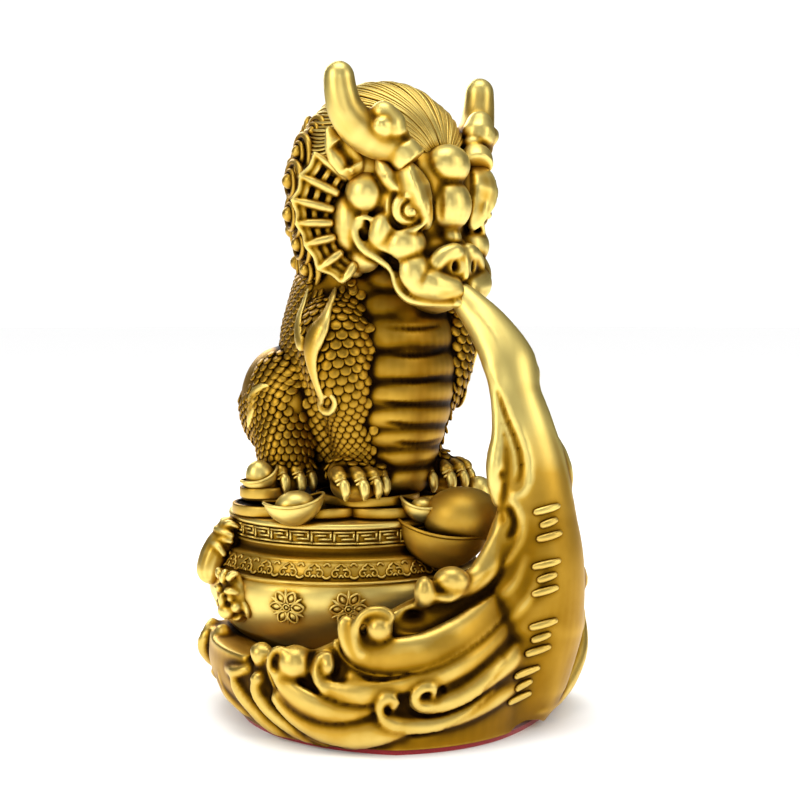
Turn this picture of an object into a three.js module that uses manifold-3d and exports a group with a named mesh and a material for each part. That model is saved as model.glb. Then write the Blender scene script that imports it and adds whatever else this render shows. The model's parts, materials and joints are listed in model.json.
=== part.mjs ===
// A qilin seated on a treasure basin, blowing a water jet that falls into a bank of curling waves.
// One brass casting and the felt pad under it. Millimetres, +Z up, felt underside at z = 0,
// the display side towards -Y.
import * as THREE from "three";
import { mergeVertices } from "three/addons/utils/BufferGeometryUtils.js";
import Module from "manifold-3d";

const wasm = await Module();
wasm.setup();

// Driving dimensions
const HEAD = { x: 2, y: 3, yaw: 46 };
const BODY = { x: -8.4, y: 7.4, yaw: 35 };
const BASIN = { x: -16, y: 11, rim: 33, belly: 39, foot: 27, footZ: 19, bellyZ: 34, rimZ: 55.5 };
const BANK = { x: -1, y: 3, halfX: 53.6, front: 52, back: 45, floorZ: 20 };
const FELT = { thick: 1.2, gap: 0.3, inset: 1.2 };
const CAST_Z = FELT.thick + FELT.gap;
const FORM_TRIANGLES = 8950;
const JET_YAW = 22;

const rad = THREE.MathUtils.degToRad;
const lerp = THREE.MathUtils.lerp;
const smooth = THREE.MathUtils.smoothstep;
const vec = (x, y, z) => new THREE.Vector3(x, y, z);

// A geometry as a closed solid that can be joined and cut.
function solid(geometry) {
  const bare = geometry.clone();
  bare.deleteAttribute("normal");
  bare.deleteAttribute("uv");
  const welded = mergeVertices(bare, 1e-3);
  return new wasm.Manifold(
    new wasm.Mesh({
      numProp: 3,
      vertProperties: new Float32Array(welded.attributes.position.array),
      triVerts: new Uint32Array(welded.index.array),
    }),
  );
}

// Joins many solids into one.
const join = (solids) => solids.flat(Infinity).reduce((whole, piece) => whole.add(piece));

// The outer skin alone, without the closed pockets that joined forms leave between them.
const skinOf = (whole) => join(whole.decompose().filter((shell) => shell.volume() > 0));

// The left and the right copy of a form: side is -1 on the display side and +1 on the far side.
const pair = (make) => [-1, 1].map(make);

// A turned local frame: f runs forwards, l to the beast's left, z up.
function frameOf({ x, y, yaw }) {
  const s = Math.sin(rad(yaw));
  const c = Math.cos(rad(yaw));
  const at = (f, l, z) => vec(x + f * s + l * c, y - f * c + l * s, z);
  at.basis = new THREE.Matrix4().makeBasis(vec(s, -c, 0), vec(c, s, 0), vec(0, 0, 1));
  return at;
}

const head = frameOf(HEAD);
const body = frameOf(BODY);
const plain = (x, y, z) => vec(x, y, z);
plain.basis = new THREE.Matrix4();

// An ellipsoid in a local frame. pitch lifts its front, roll tips it sideways and yaw turns it.
function blob(at, centre, radii, { pitch = 0, roll = 0, yaw = 0, sides = 7, rings = 5 } = {}) {
  const ball = new THREE.SphereGeometry(1, sides, rings).rotateX(Math.PI / 2);
  const turn = new THREE.Matrix4().makeRotationFromEuler(
    new THREE.Euler(rad(roll), rad(-pitch), rad(yaw), "ZYX"),
  );
  ball.scale(...radii).applyMatrix4(turn).applyMatrix4(at.basis);
  return solid(ball.translate(...at(...centre)));
}

// Which ring of a sphere a vertex is on, and its angle round the sphere's axis.
function ringOf(place, i, rings) {
  const polar = Math.acos(THREE.MathUtils.clamp(place.getY(i), -1, 1));
  return { ring: Math.round((polar / Math.PI) * rings), around: Math.atan2(place.getZ(i), place.getX(i)) };
}

// A value read from a list of evenly spaced ones.
function along(list, t) {
  const step = t * (list.length - 1);
  const i = Math.min(Math.floor(step), list.length - 2);
  return lerp(list[i], list[i + 1], step - i);
}

// A closed tapered limb: a sphere's rings are drawn along the smooth curve through the points.
// radii are spread evenly along it. face, where given, is the side that flat makes thin.
function limb(points, radii, { sides = 6, rings = 7, flat = 1, face = null } = {}) {
  const curve = new THREE.CatmullRomCurve3(points);
  const length = curve.getLength();
  const turns = curve.computeFrenetFrames(rings * 4);
  const first = Math.min(0.2, (0.3 * radii[0]) / length);
  const last = Math.max(0.8, 1 - (0.3 * radii.at(-1)) / length);
  const tube = new THREE.SphereGeometry(1, sides, rings);
  const place = tube.attributes.position;
  for (let i = 0; i < place.count; i++) {
    const { ring, around } = ringOf(place, i, rings);
    const pole = ring === 0 || ring === rings;
    const t = pole ? ring / rings : lerp(first, last, (ring - 1) / (rings - 2));
    const cap = ring === 1 || ring === rings - 1 ? 0.75 : 1;
    const tangent = curve.getTangentAt(t);
    const frame = Math.round(t * rings * 4);
    const across = face ? vec(0, 0, 0).crossVectors(tangent, face).normalize() : turns.normals[frame];
    const thin = vec(0, 0, 0).crossVectors(across, tangent).normalize();
    const r = pole ? 0 : cap * along(radii, t);
    const spot = curve.getPointAt(t);
    spot.addScaledVector(across, Math.cos(around) * r).addScaledVector(thin, -Math.sin(around) * r * flat);
    place.setXYZ(i, spot.x, spot.y, spot.z);
  }
  return solid(tube);
}

// A plain bar between two points.
function bar(from, to, width, height, face) {
  const along = to.clone().sub(from);
  const box = new THREE.BoxGeometry(along.length(), width, height);
  along.normalize();
  const across = vec(0, 0, 0).crossVectors(face, along).normalize();
  const up = vec(0, 0, 0).crossVectors(along, across);
  box.applyMatrix4(new THREE.Matrix4().makeBasis(along, across, up));
  return solid(box.translate(...from.clone().add(to).multiplyScalar(0.5)));
}

// The bank of water round the basin

// How high the bank's crest stands at an angle round it.
function crestAt(angle) {
  const right = 0.5 + 0.5 * Math.cos(angle + rad(38));
  return BANK.floorZ + 2 + 20 * smooth(right, 0.45, 1);
}

// The bank's outline at full bulge. Its front right side is a little flatter than the rest.
function outlineAt(angle) {
  const depth = Math.sin(angle) < 0 ? BANK.front : BANK.back;
  const r = 1 / Math.hypot(Math.cos(angle) / BANK.halfX, Math.sin(angle) / depth);
  const flat = Math.max(0, Math.cos(angle + rad(30))) ** 8;
  return r * (1 - 0.06 * flat);
}

// How far in the bank's foot stands, as a share of the outline: most at the left, where the waves overhang.
function footAt(angle) {
  const left = Math.max(0, -Math.cos(angle));
  const right = Math.max(0, Math.cos(angle));
  return 0.97 - 0.14 * left - 0.11 * right;
}

// A point on the bank's side: angle round it and height, with the bulge of its profile.
function onBank(angle, z, lift = 0) {
  const h = THREE.MathUtils.clamp(z / crestAt(angle), 0, 1);
  const foot = footAt(angle);
  const bulge = foot + (1 - foot) * Math.sin(Math.PI * 0.5 * Math.min(1, h / 0.62));
  const lean = (0.18 * (crestAt(angle) - BANK.floorZ)) / 22;
  const r = outlineAt(angle) * (bulge - lean * smooth(h, 0.45, 1)) + lift;
  return vec(BANK.x + Math.cos(angle) * r, BANK.y + Math.sin(angle) * r, z);
}

// The same point found from its left-right place and height, on the display side.
function onBankAt(x, z, lift = 0) {
  let angle = -Math.PI / 2;
  for (let i = 0; i < 8; i++) {
    const reach = onBank(angle, z, lift).sub(vec(BANK.x, BANK.y, z)).length();
    angle = -Math.acos(THREE.MathUtils.clamp((x - BANK.x) / reach, -1, 1));
  }
  return onBank(angle, z, lift);
}

function bankCore() {
  const walls = [0, 0.15, 0.4, 0.75, 1];
  const profile = [
    new THREE.Vector2(0, 0),
    ...walls.map((h) => new THREE.Vector2(1, h)),
    new THREE.Vector2(0.8, 1),
    new THREE.Vector2(0.7, 1),
    new THREE.Vector2(0, 1),
  ];
  const shell = new THREE.LatheGeometry(profile, 30).rotateX(Math.PI / 2);
  const place = shell.attributes.position;
  for (let i = 0; i < place.count; i++) {
    const rho = Math.hypot(place.getX(i), place.getY(i));
    const angle = Math.atan2(place.getY(i), place.getX(i));
    const crest = rho > 0.75 ? crestAt(angle) : BANK.floorZ;
    const z = CAST_Z + place.getZ(i) * (crest - CAST_Z);
    const edge = onBank(angle, z);
    place.setXYZ(i, lerp(BANK.x, edge.x, rho), lerp(BANK.y, edge.y, rho), z);
  }
  return solid(shell);
}

// A ridge of water on the bank: left-right places and heights, tapering to a curl.
function ridge(marks, radii, options = {}) {
  const points = marks.map(([x, z, lift = 0]) => onBankAt(x, z, lift));
  return limb(points, radii, { sides: 5, rings: 8, ...options });
}

function frontWaves() {
  return [
    // main scroll with its thick trunk
    ridge([[40, 44, 0], [30, 37, 1], [17, 28, 1], [0, 23, 1], [-10, 25, 3], [-14, 32, 4], [-9, 38, 4],
      [-3, 36, 4]], [3, 4.5, 5.2, 5.2, 4.5, 3.2, 2.6, 3.4], { rings: 12, sides: 6 }),
    blob(plain, onBankAt(-5.6, 31.5, 3).toArray(), [3.6, 3.4, 3.6]),
    // ridge beneath it
    ridge([[26, 27], [8, 19, 1], [-7, 20, 2], [-15, 27, 3], [-16, 33, 2]], [1.5, 3, 3, 2.6, 1.4]),
    // right scroll with its shell-like lip
    ridge([[31, 58, -2], [27, 48, 0], [20, 42, 1], [12, 41, 1], [8, 44, 0]], [1.4, 2.6, 3.2, 3.2, 2.4]),
    blob(plain, onBankAt(11, 40, -1).toArray(), [5, 4.4, 5.4]),
    // right hook
    ridge([[31, 24], [18, 14.5, 1], [8, 12.5, 1.5], [5.5, 16.5, 1], [10, 18.5, 1]], [1.2, 2.2, 2.4, 1.9, 1.2]),
    // left hook
    ridge([[24, 15], [10, 8, 1], [-2, 8, 1.5], [-5, 13, 1.5], [0.5, 15.5, 1]], [1.2, 2.4, 2.6, 2.2, 1.2]),
    // left roll and the ridge it grows from
    ridge([[-6, 13.5], [-20, 9.5, 1], [-31, 14.5, 1.5], [-33, 22, 1.5], [-28, 25, 1]],
      [1.6, 3.4, 3.6, 3.2, 2.6]),
    // second roll
    ridge([[-6, 15], [-16, 15, 0.5], [-21.5, 20, 1], [-18, 25.5, 0]], [1.2, 2.4, 2.6, 2], { rings: 6 }),
    // low ridges that sweep round to the left
    ridge([[6, 3.5], [-12, 3.5, 0.5], [-27, 6, 1], [-37, 13, 1], [-40, 20, 1]], [1.4, 2.4, 2.6, 2.2, 1.6],
      { rings: 7 }),
    // knobs at the left end
    blob(plain, [-51, -3, 19.5], [4, 5, 5.4]),
    blob(plain, [-41, -21, 19], [4.2, 4, 3.4], { yaw: 30 }),
  ];
}

// The hidden side: plainer rolls in the same manner, one after another round the back.
function backWaves() {
  return [25, 80, 135].map((start) => {
    const top = crestAt(rad(start + 22));
    const points = [
      onBank(rad(start - 30), 6),
      onBank(rad(start - 8), 8, 1),
      onBank(rad(start + 16), top * 0.7, 1.5),
      onBank(rad(start + 18), top, 0),
      onBank(rad(start + 9), top * 0.9, 1),
    ];
    return limb(points, [1.4, 3.2, 3.2, 2.6, 1.8], { sides: 5, rings: 7 });
  });
}

// The jet and the column it falls in

const jetAcross = vec(Math.cos(rad(JET_YAW)), Math.sin(rad(JET_YAW)), 0);
const jetFace = vec(Math.sin(rad(JET_YAW)), -Math.cos(rad(JET_YAW)), 0);
// centre, half width and half depth of the water, from the mouth down
const JET = [
  { at: [15, -10, 118], wide: 3.4, deep: 3 },
  { at: [19, -12.5, 113.8], wide: 4.6, deep: 3.4 },
  { at: [24.4, -16, 107.2], wide: 6.2, deep: 4 },
  { at: [29, -20, 99], wide: 7.8, deep: 4.4 },
  { at: [30.8, -22, 90], wide: 7, deep: 4.6 },
  { at: [33.2, -23, 81], wide: 8.2, deep: 5 },
  { at: [35.2, -23.5, 70], wide: 9.8, deep: 6 },
  { at: [36.4, -23.5, 57], wide: 11.4, deep: 7.5 },
  { at: [36.4, -23, 44], wide: 13.8, deep: 9.5 },
  { at: [33.8, -21.5, 30], wide: 18.4, deep: 12 },
  { at: [30, -19, 14], wide: 19, deep: 13 },
  { at: [25, -16, CAST_Z + 1], wide: 15, deep: 12 },
];

// A point on the front of the column, some way across it.
function onColumn(z, across) {
  const i = JET.findIndex((s) => s.at[2] <= z);
  const a = JET[i - 1];
  const b = JET[i];
  const t = (a.at[2] - z) / (a.at[2] - b.at[2]);
  const centre = vec(...a.at).lerp(vec(...b.at), t);
  const wide = lerp(a.wide, b.wide, t);
  const deep = lerp(a.deep, b.deep, t);
  const bow = Math.sqrt(Math.max(0, 1 - (across / wide) ** 2));
  return centre.addScaledVector(jetAcross, across).addScaledVector(jetFace, deep * bow);
}

// A point off the column's edge: side, height and how far out.
function onEdge(side, z, out) {
  const lower = JET.findIndex((ring) => ring.at[2] <= z);
  const [a, b] = [JET[lower - 1], JET[lower]];
  const t = (a.at[2] - z) / (a.at[2] - b.at[2]);
  const centre = vec(...a.at).lerp(vec(...b.at), t);
  return centre.addScaledVector(jetAcross, side * (lerp(a.wide, b.wide, t) + out));
}

function jet() {
  const curve = new THREE.CatmullRomCurve3(JET.map((s) => vec(...s.at)));
  const rings = JET.length + 1;
  const shell = new THREE.SphereGeometry(1, 10, rings);
  const place = shell.attributes.position;
  const wides = JET.map((s) => s.wide);
  const deeps = JET.map((s) => s.deep);
  for (let i = 0; i < place.count; i++) {
    const { ring, around } = ringOf(place, i, rings);
    const closed = ring === 0 || ring === rings;
    const t = THREE.MathUtils.clamp((ring - 1) / (rings - 2), 0, 1);
    const size = closed ? 0 : 1;
    const spot = curve.getPoint(t);
    spot.addScaledVector(jetAcross, Math.cos(around) * along(wides, t) * size);
    spot.addScaledVector(jetFace, Math.sin(around) * along(deeps, t) * size);
    place.setXYZ(i, spot.x, spot.y, spot.z);
  }
  const slim = { sides: 5, rings: 5 };
  return [
    solid(shell),
    // knob at the elbow and the splashes down the right edge
    limb([onEdge(1, 101, -3), onEdge(1, 96, -1.2), onEdge(1, 90, -2)], [1.5, 2, 1.2], slim),
    limb([onEdge(1, 84, -3), onEdge(1, 77, -0.4), onEdge(1, 69, -0.4), onEdge(1, 60, -3)], [1, 2, 2.4, 1], slim),
    limb([onEdge(1, 58, -3), onEdge(1, 52, -1.4), onEdge(1, 46, -2.6)], [1, 2, 1], slim),
    limb([onEdge(1, 46, -2), onEdge(1, 40, -0.6), onEdge(1, 34, -2)], [1, 2.2, 1], slim),
    limb([onEdge(1, 34, -2), onEdge(1, 26, -0.8), onEdge(1, 17, -2)], [1.4, 2.6, 1.6], slim),
    // the lobe on the left edge, with its raised rim
    limb([onEdge(-1, 92, -1), onEdge(-1, 82, -1), onEdge(-1, 75, 0), onEdge(-1, 67, 0.6), onEdge(-1, 61, 0)],
      [1, 1.8, 2.8, 3.2, 1], { sides: 6, rings: 7 }),
    limb([onEdge(-1, 60, -2), onEdge(-1, 52, 0), onEdge(-1, 44, 2)], [1.2, 2.8, 2.4], slim),
  ];
}

// Four rows of short raised strokes down the column.
function strokes() {
  const rows = [{ z: 56.5, x: 2.6 }, { z: 41, x: 3 }, { z: 26, x: 3.4 }, { z: 12, x: 3.6 }];
  const [long, short, apart, slope] = [8.4, 6, 3.6, 0.8];
  return rows.flatMap(({ z, x }) =>
    [long, short].map((length, k) => {
      const height = z + (k - 0.5) * apart;
      const from = onColumn(height - slope, x - length / 2);
      const to = onColumn(height + slope, x + length / 2);
      return bar(from, to, 1.7, 1.8, jetFace);
    }),
  );
}

// The treasure basin

function basin() {
  const { rim, belly, foot, footZ, bellyZ, rimZ } = BASIN;
  const profile = [
    [0, footZ - 2],
    [foot, footZ - 2],
    [belly - 5, footZ + 6],
    [belly - 0.8, bellyZ - 5],
    [belly, bellyZ],
    [belly - 2, bellyZ + 6.6],
    [belly - 1, bellyZ + 7.6],
    [rim - 1.2, rimZ - 9],
    [rim - 0.4, rimZ - 6.8],
    [rim - 0.9, rimZ - 1.6],
    [rim, rimZ - 1.2],
    [rim - 0.4, rimZ],
    [0, rimZ + 0.6],
  ];
  const turned = new THREE.LatheGeometry(profile.map(([r, z]) => new THREE.Vector2(r, z)), 30);
  return solid(turned.rotateX(Math.PI / 2).translate(BASIN.x, BASIN.y, 0));
}

// A point on the basin's belly, by angle round it.
function onBasin(angle, z, out = 0) {
  const r = BASIN.belly - 0.5 - 0.035 * (z - BASIN.bellyZ) ** 2 + out;
  return vec(BASIN.x + Math.cos(rad(angle)) * r, BASIN.y + Math.sin(rad(angle)) * r, z);
}

// Six-petal flowers round the belly, each one star-shaped plate with its petals in one outline.
function flowers() {
  const petals = 6;
  const [tip, valley, sink] = [4.8, 2, 3.2];
  const star = new THREE.Shape(
    Array.from({ length: petals * 2 }, (_, i) => {
      const r = i % 2 ? valley : tip;
      const turn = (Math.PI / petals) * i;
      return new THREE.Vector2(Math.cos(turn) * r, Math.sin(turn) * r);
    }),
  );
  return [-111, -86.4, 40, 90, 140].map((angle) => {
    const outward = vec(Math.cos(rad(angle)), Math.sin(rad(angle)), 0).normalize();
    const beside = vec(-Math.sin(rad(angle)), Math.cos(rad(angle)), 0);
    const up = vec(0, 0, 0).crossVectors(outward, beside);
    const plate = new THREE.ExtrudeGeometry(star, { depth: sink, bevelEnabled: false });
    plate.translate(0, 0, 0.7 - sink).applyMatrix4(new THREE.Matrix4().makeBasis(beside, up, outward));
    return solid(plate.translate(...onBasin(angle, BASIN.bellyZ)));
  });
}

// The handle at the left, a rearing cub in low relief, and the beast mask beside it.
function basinRelief() {
  const mask = onBasin(-140, 34, -0.5);
  const handle = [onBasin(-164, 59, 15), onBasin(-168, 51, 5), onBasin(-170, 43, 1), onBasin(-168, 35, -1)];
  return [
    limb(handle, [3, 4.2, 3.6, 1.6], { rings: 6 }),
    blob(plain, mask.toArray(), [4.6, 4.2, 6], { yaw: 41 }),
    blob(plain, [mask.x + 0.4, mask.y - 3.2, mask.z - 2.6], [3, 2, 1.8]),
  ];
}

// A coin: a flat disc.
function coin(x, y, z, r, thick = 2.6) {
  const disc = new THREE.CylinderGeometry(r, r, thick, 14).rotateX(Math.PI / 2);
  return solid(disc.translate(x, y, z));
}

// A boat-shaped ingot with a domed middle. lift is how far its two tips rise.
function ingot(centre, [long, deep, tall], { yaw = 0, tilt = 0, lift = 0.5, dome = [0.52, 0.62, 0.9] } = {}) {
  const hull = new THREE.SphereGeometry(1, 10, 6).rotateX(Math.PI / 2);
  const place = hull.attributes.position;
  for (let i = 0; i < place.count; i++) {
    const x = place.getX(i);
    const up = Math.max(place.getZ(i), 0) * 0.12 + Math.min(place.getZ(i), 0);
    place.setXYZ(i, x * long, place.getY(i) * deep, (up + lift * x * x) * tall);
  }
  const egg = new THREE.SphereGeometry(1, 8, 5).rotateX(Math.PI / 2);
  egg.scale(dome[0] * long, dome[1] * deep, dome[2] * tall);
  return [hull, egg].map((piece) =>
    solid(piece.rotateY(rad(-tilt)).rotateZ(rad(yaw)).translate(...centre)),
  );
}

function treasure() {
  const bed = BASIN.rimZ + 1.5;
  return [
    coin(-5, -4, bed + 0.4, 12.5, 3.4),
    coin(-9, -1, bed + 3.2, 14.5, 3.4),
    coin(-35, 0, bed + 0.2, 12, 3.4),
    coin(-36, 5, bed + 3.2, 9, 4.4),
    coin(2, 12, bed + 1.6, 13, 4.4),
    coin(-16, 15, bed + 2.4, 25, 5),
    ingot([11.6, -14, 51.5], [12, 9.5, 9.6], { yaw: -6, tilt: -9, lift: 0.15, dome: [0.3, 0.3, 0.3] }),
    blob(plain, [17, -14, 56.4], [10.8, 9.5, 8.2], { sides: 10, rings: 7 }),
    ingot([-28.6, -18.5, 60], [8, 5.4, 4.6], { yaw: 10, tilt: 20 }),
    ingot([-39.6, 2, 66.4], [5.6, 4.4, 3.6], { yaw: 20, tilt: 14 }),
    blob(plain, [22, 3, 60], [4.6, 5, 5.4]),
    ingot([-14, 39, 61], [8, 5.4, 4.6], { tilt: 8 }),
  ];
}

// The beast's body

function torso() {
  return [
    limb([body(-14, 0, 58), body(-13, 0, 74), body(-9, 0, 90), body(-5, 0, 105), body(0, 0, 119),
      body(5, 0, 132)], [16, 17.6, 20.4, 22, 20.5, 15], { sides: 11, rings: 9 }),
    blob(body, [5, 0, 99], [15, 15.4, 23], { pitch: -8, sides: 9, rings: 6 }),
    blob(body, [-19, 0, 84], [19, 18, 20], { sides: 10, rings: 6 }),
  ];
}

// Broad plates down the chest and belly: one form whose width swells and shrinks, a band for each plate.
function bellyPlates() {
  const plates = 8;
  const bands = 2 * plates;
  const spine = Array.from({ length: 7 }, (_, i) => {
    const t = i / 6;
    return body(11 + 4.4 * Math.sin(Math.PI * smooth(t, -0.15, 0.95)) - 2.5 * t, 0, lerp(117, 67, t));
  });
  const radii = Array.from({ length: bands + 1 }, (_, i) => (i % 2 ? 13.4 : 11.8) - 2 * (i / bands) ** 2);
  return limb(spine, radii, { sides: 9, rings: bands + 3, flat: 0.94, face: body(1, 0, 0).sub(body(0, 0, 0)) });
}

function foreleg(side) {
  const l = side;
  return [
    limb([body(4, 15 * l, 116), body(7.5, 17.6 * l, 104), body(9, 16.4 * l, 94), body(8, 12.4 * l, 84),
      body(7, 10 * l, 74), body(10, 11.4 * l, 64)], [6.5, 10.5, 9.4, 7.2, 6.2, 6.8], { sides: 8, rings: 9 }),
    paw(body(13, 14.6 * l, 64), side, 4),
  ];
}

function haunch(side) {
  const l = side;
  return [
    blob(body, [-18, 20 * l, 86.5], [15, 10.6, 16.4], { pitch: -12, sides: 10, rings: 7 }),
    limb([body(-14, 20.6 * l, 84), body(-10, 22 * l, 74), body(-9, 22.6 * l, 64)], [10, 8, 7], { rings: 5 }),
    paw(body(-8.5, 23.5 * l, 64), side, 3),
  ];
}

// A paw with toes that end in claws, fanned a little.
function paw(at, side, toes) {
  const forward = body(1, 0, 0).sub(body(0, 0, 0));
  const left = body(0, 1, 0).sub(body(0, 0, 0));
  const spread = 4.4;
  const step = (f, l, z) =>
    at.clone().addScaledVector(forward, f).addScaledVector(left, l).add(vec(0, 0, z));
  const pad = blob(plain, step(1, 0, 0.6).toArray(), [7.6, 7.4, 4.4], { yaw: BODY.yaw - 90 });
  const toe = (i) => {
    const l = (i - (toes - 1) / 2) * spread;
    const fan = l * 0.14;
    const f = 6.6 - 0.09 * l * l;
    return limb([step(f - 3, l, 2.6), step(f, l + fan, 3.6), step(f + 2.8, l + fan, 1.6), step(f + 3.6, l + fan, -2.8)],
      [1.6, 2.5, 1.9, 0.6], { sides: 5, rings: 6 });
  };
  return [pad, Array.from({ length: toes }, (_, i) => toe(i))];
}

// The flame-shaped ornament on each shoulder and the smaller one on each thigh.
function ornaments(side) {
  const l = side;
  const outward = body(0, l, 0).sub(body(0, 0, 0));
  const flat = { flat: 0.55, face: outward, sides: 5, rings: 7 };
  return [
    limb([body(8, 21 * l, 116), body(6.5, 26 * l, 110), body(6, 27.4 * l, 102), body(7, 27 * l, 94),
      body(9, 23 * l, 88), body(11, 21.6 * l, 89.5)], [0.8, 2, 3.8, 2.6, 1.5, 1.6], { ...flat, rings: 8 }),
    limb([body(0, 21 * l, 116), body(0.6, 25.4 * l, 109), body(4.4, 27.4 * l, 101)], [0.7, 1.8, 2.6], { ...flat, rings: 5 }),
    limb([body(-12, 29.6 * l, 92), body(-18, 30.6 * l, 92), body(-24, 29.4 * l, 84)], [0.8, 2.2, 1], { ...flat, rings: 5 }),
  ];
}

// A flame-like tail laid up the back, on the hidden side.
function tail() {
  const lock = (l, top, r) =>
    limb([body(-33, l * 0.4, 66), body(-38, l * 0.7, 79), body(-34, l, 93), body(-26, l * 1.3, top)],
      [r, r * 1.1, r * 0.9, 0.8], { sides: 6, rings: 7 });
  return [lock(0, 113, 5.6), lock(8, 104, 4.2), lock(-8, 104, 4.2)];
}

// The head

function skull() {
  return [
    blob(head, [-2, 0, 142], [17, 18.5, 18], { sides: 12, rings: 8 }),
    blob(head, [8.5, 0, 136], [12, 14, 14], { pitch: -20, sides: 8, rings: 6 }),
    blob(head, [10, 0, 125], [12, 11.5, 8.5], { sides: 8 }),
    limb([head(-6, 0, 128), head(4, 0, 118), head(14, 0, 115.5), head(20, 0, 114)], [14, 13, 9.5, 6.5],
      { sides: 8, rings: 6, flat: 0.62, face: vec(0, 0, 1) }),
  ];
}

function forehead() {
  return [
    blob(head, [15.2, 0, 152], [5.4, 6, 5.4]),
    blob(head, [16.6, 0, 141.4], [5, 5, 7.2]),
  ];
}

function faceSide(side) {
  const l = side;
  const ball = { sides: 6, rings: 4 };
  const outward = head(0, l, 0).sub(head(0, 0, 0));
  return [
    // brow: a winged ridge, and the pointed leaf behind it
    limb([head(18.6, 3.5 * l, 134), head(17.6, 9 * l, 139.5), head(15.4, 13.4 * l, 146), head(11, 14 * l, 152)],
      [1.4, 3.8, 5, 3], { rings: 6 }),
    limb([head(13, 14 * l, 146.5), head(9.5, 17 * l, 148), head(6, 19.6 * l, 153)], [2.4, 2, 0.5],
      { sides: 4, rings: 4, flat: 0.7, face: outward }),
    blob(head, [10.8, 13 * l, 140], [5, 4.4, 4.8], { rings: 4 }),
    // temple ball, cheeks and jaw ball
    blob(head, [2.6, 17.8 * l, 143.6], [5.2, 4.8, 5.2]),
    blob(head, [-3.3, 20.6 * l, 136.8], [4.2, 3.4, 7.6], ball),
    blob(head, [6.4, 16.8 * l, 134], [4, 3.2, 6], ball),
    blob(head, [0, 17.4 * l, 126.8], [4.4, 4, 4.4], ball),
    // upper lip and the wing of the nostril
    limb([head(11.5, 12.4 * l, 127), head(14.4, 11 * l, 121.6), head(19.4, 5 * l, 117.8), head(20.2, 0, 117.6)],
      [3.4, 4.8, 3, 2.6], { rings: 6 }),
    limb([head(16, 8.2 * l, 124.6), head(18.2, 6.6 * l, 129), head(20.6, 2.6 * l, 129)], [1.6, 2.6, 2.8],
      { sides: 5, rings: 5 }),
    // the thin lip that runs from the mouth's corner to the chin
    limb([head(2.4, 19.8 * l, 136.5), head(4.5, 18.6 * l, 130), head(10, 15.6 * l, 124), head(13, 12.6 * l, 116),
      head(20, 5.5 * l, 113.4)], [1, 1.4, 1.3, 1.6, 1.6], { sides: 4, rings: 7 }),
  ];
}

function nose() {
  return [
    blob(head, [18.6, 0, 125], [4.8, 6.6, 5]),
    limb([head(16.6, 0, 138), head(18.6, 0, 131), head(20, 0, 127)], [2.4, 2.8, 3], { sides: 5, rings: 4 }),
  ];
}

// The cuts: nostrils and the mouth's corners.
function hollows() {
  return pair((l) => [
    blob(head, [21.4, 5 * l, 125], [3, 2, 2.1], { sides: 6, rings: 4 }),
    blob(head, [4.6, 20.4 * l, 132.6], [1.6, 3, 4.6], { pitch: -14, sides: 6, rings: 4 }),
  ]);
}

function horn(side) {
  const l = side;
  return [
    limb([head(15, 13.4 * l, 151.2), head(12.4, 15.2 * l, 155)], [4.6, 4.6], { sides: 7, rings: 3 }),
    limb([head(13, 15 * l, 154), head(9, 17.8 * l, 158.4), head(5, 21 * l, 162), head(2.6, 25 * l, 167),
      head(1.6, 28.2 * l, 173), head(1.6, 29.4 * l, 178.2)], [4.2, 5.2, 5.4, 4.8, 4.4, 4], { sides: 7, rings: 9 }),
    limb([head(7, 18 * l, 161), head(4.5, 16.4 * l, 166), head(4, 15 * l, 170)], [3.4, 2.8, 2.2],
      { sides: 5, rings: 4 }),
    limb([head(10, 17 * l, 157), head(11, 21.4 * l, 160), head(12, 26 * l, 162.6)], [3.4, 3, 2.2],
      { sides: 5, rings: 4 }),
  ];
}

function ear(side) {
  const l = side;
  const spine = (out) => [
    head(2.4, (21.5 + out) * l, 148.6),
    head(-0.5, (25.4 + out) * l, 154),
    head(-5, (27.4 + out) * l, 162),
  ];
  const outward = head(0.4, l, 0).sub(head(0, 0, 0));
  const leaf = limb(spine(0), [3.6, 5, 0.8], { flat: 0.6, face: outward });
  const scoop = limb(spine(2.2), [1.6, 3.4, 0.4], { rings: 5, flat: 0.55, face: outward });
  return leaf.subtract(scoop);
}

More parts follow.
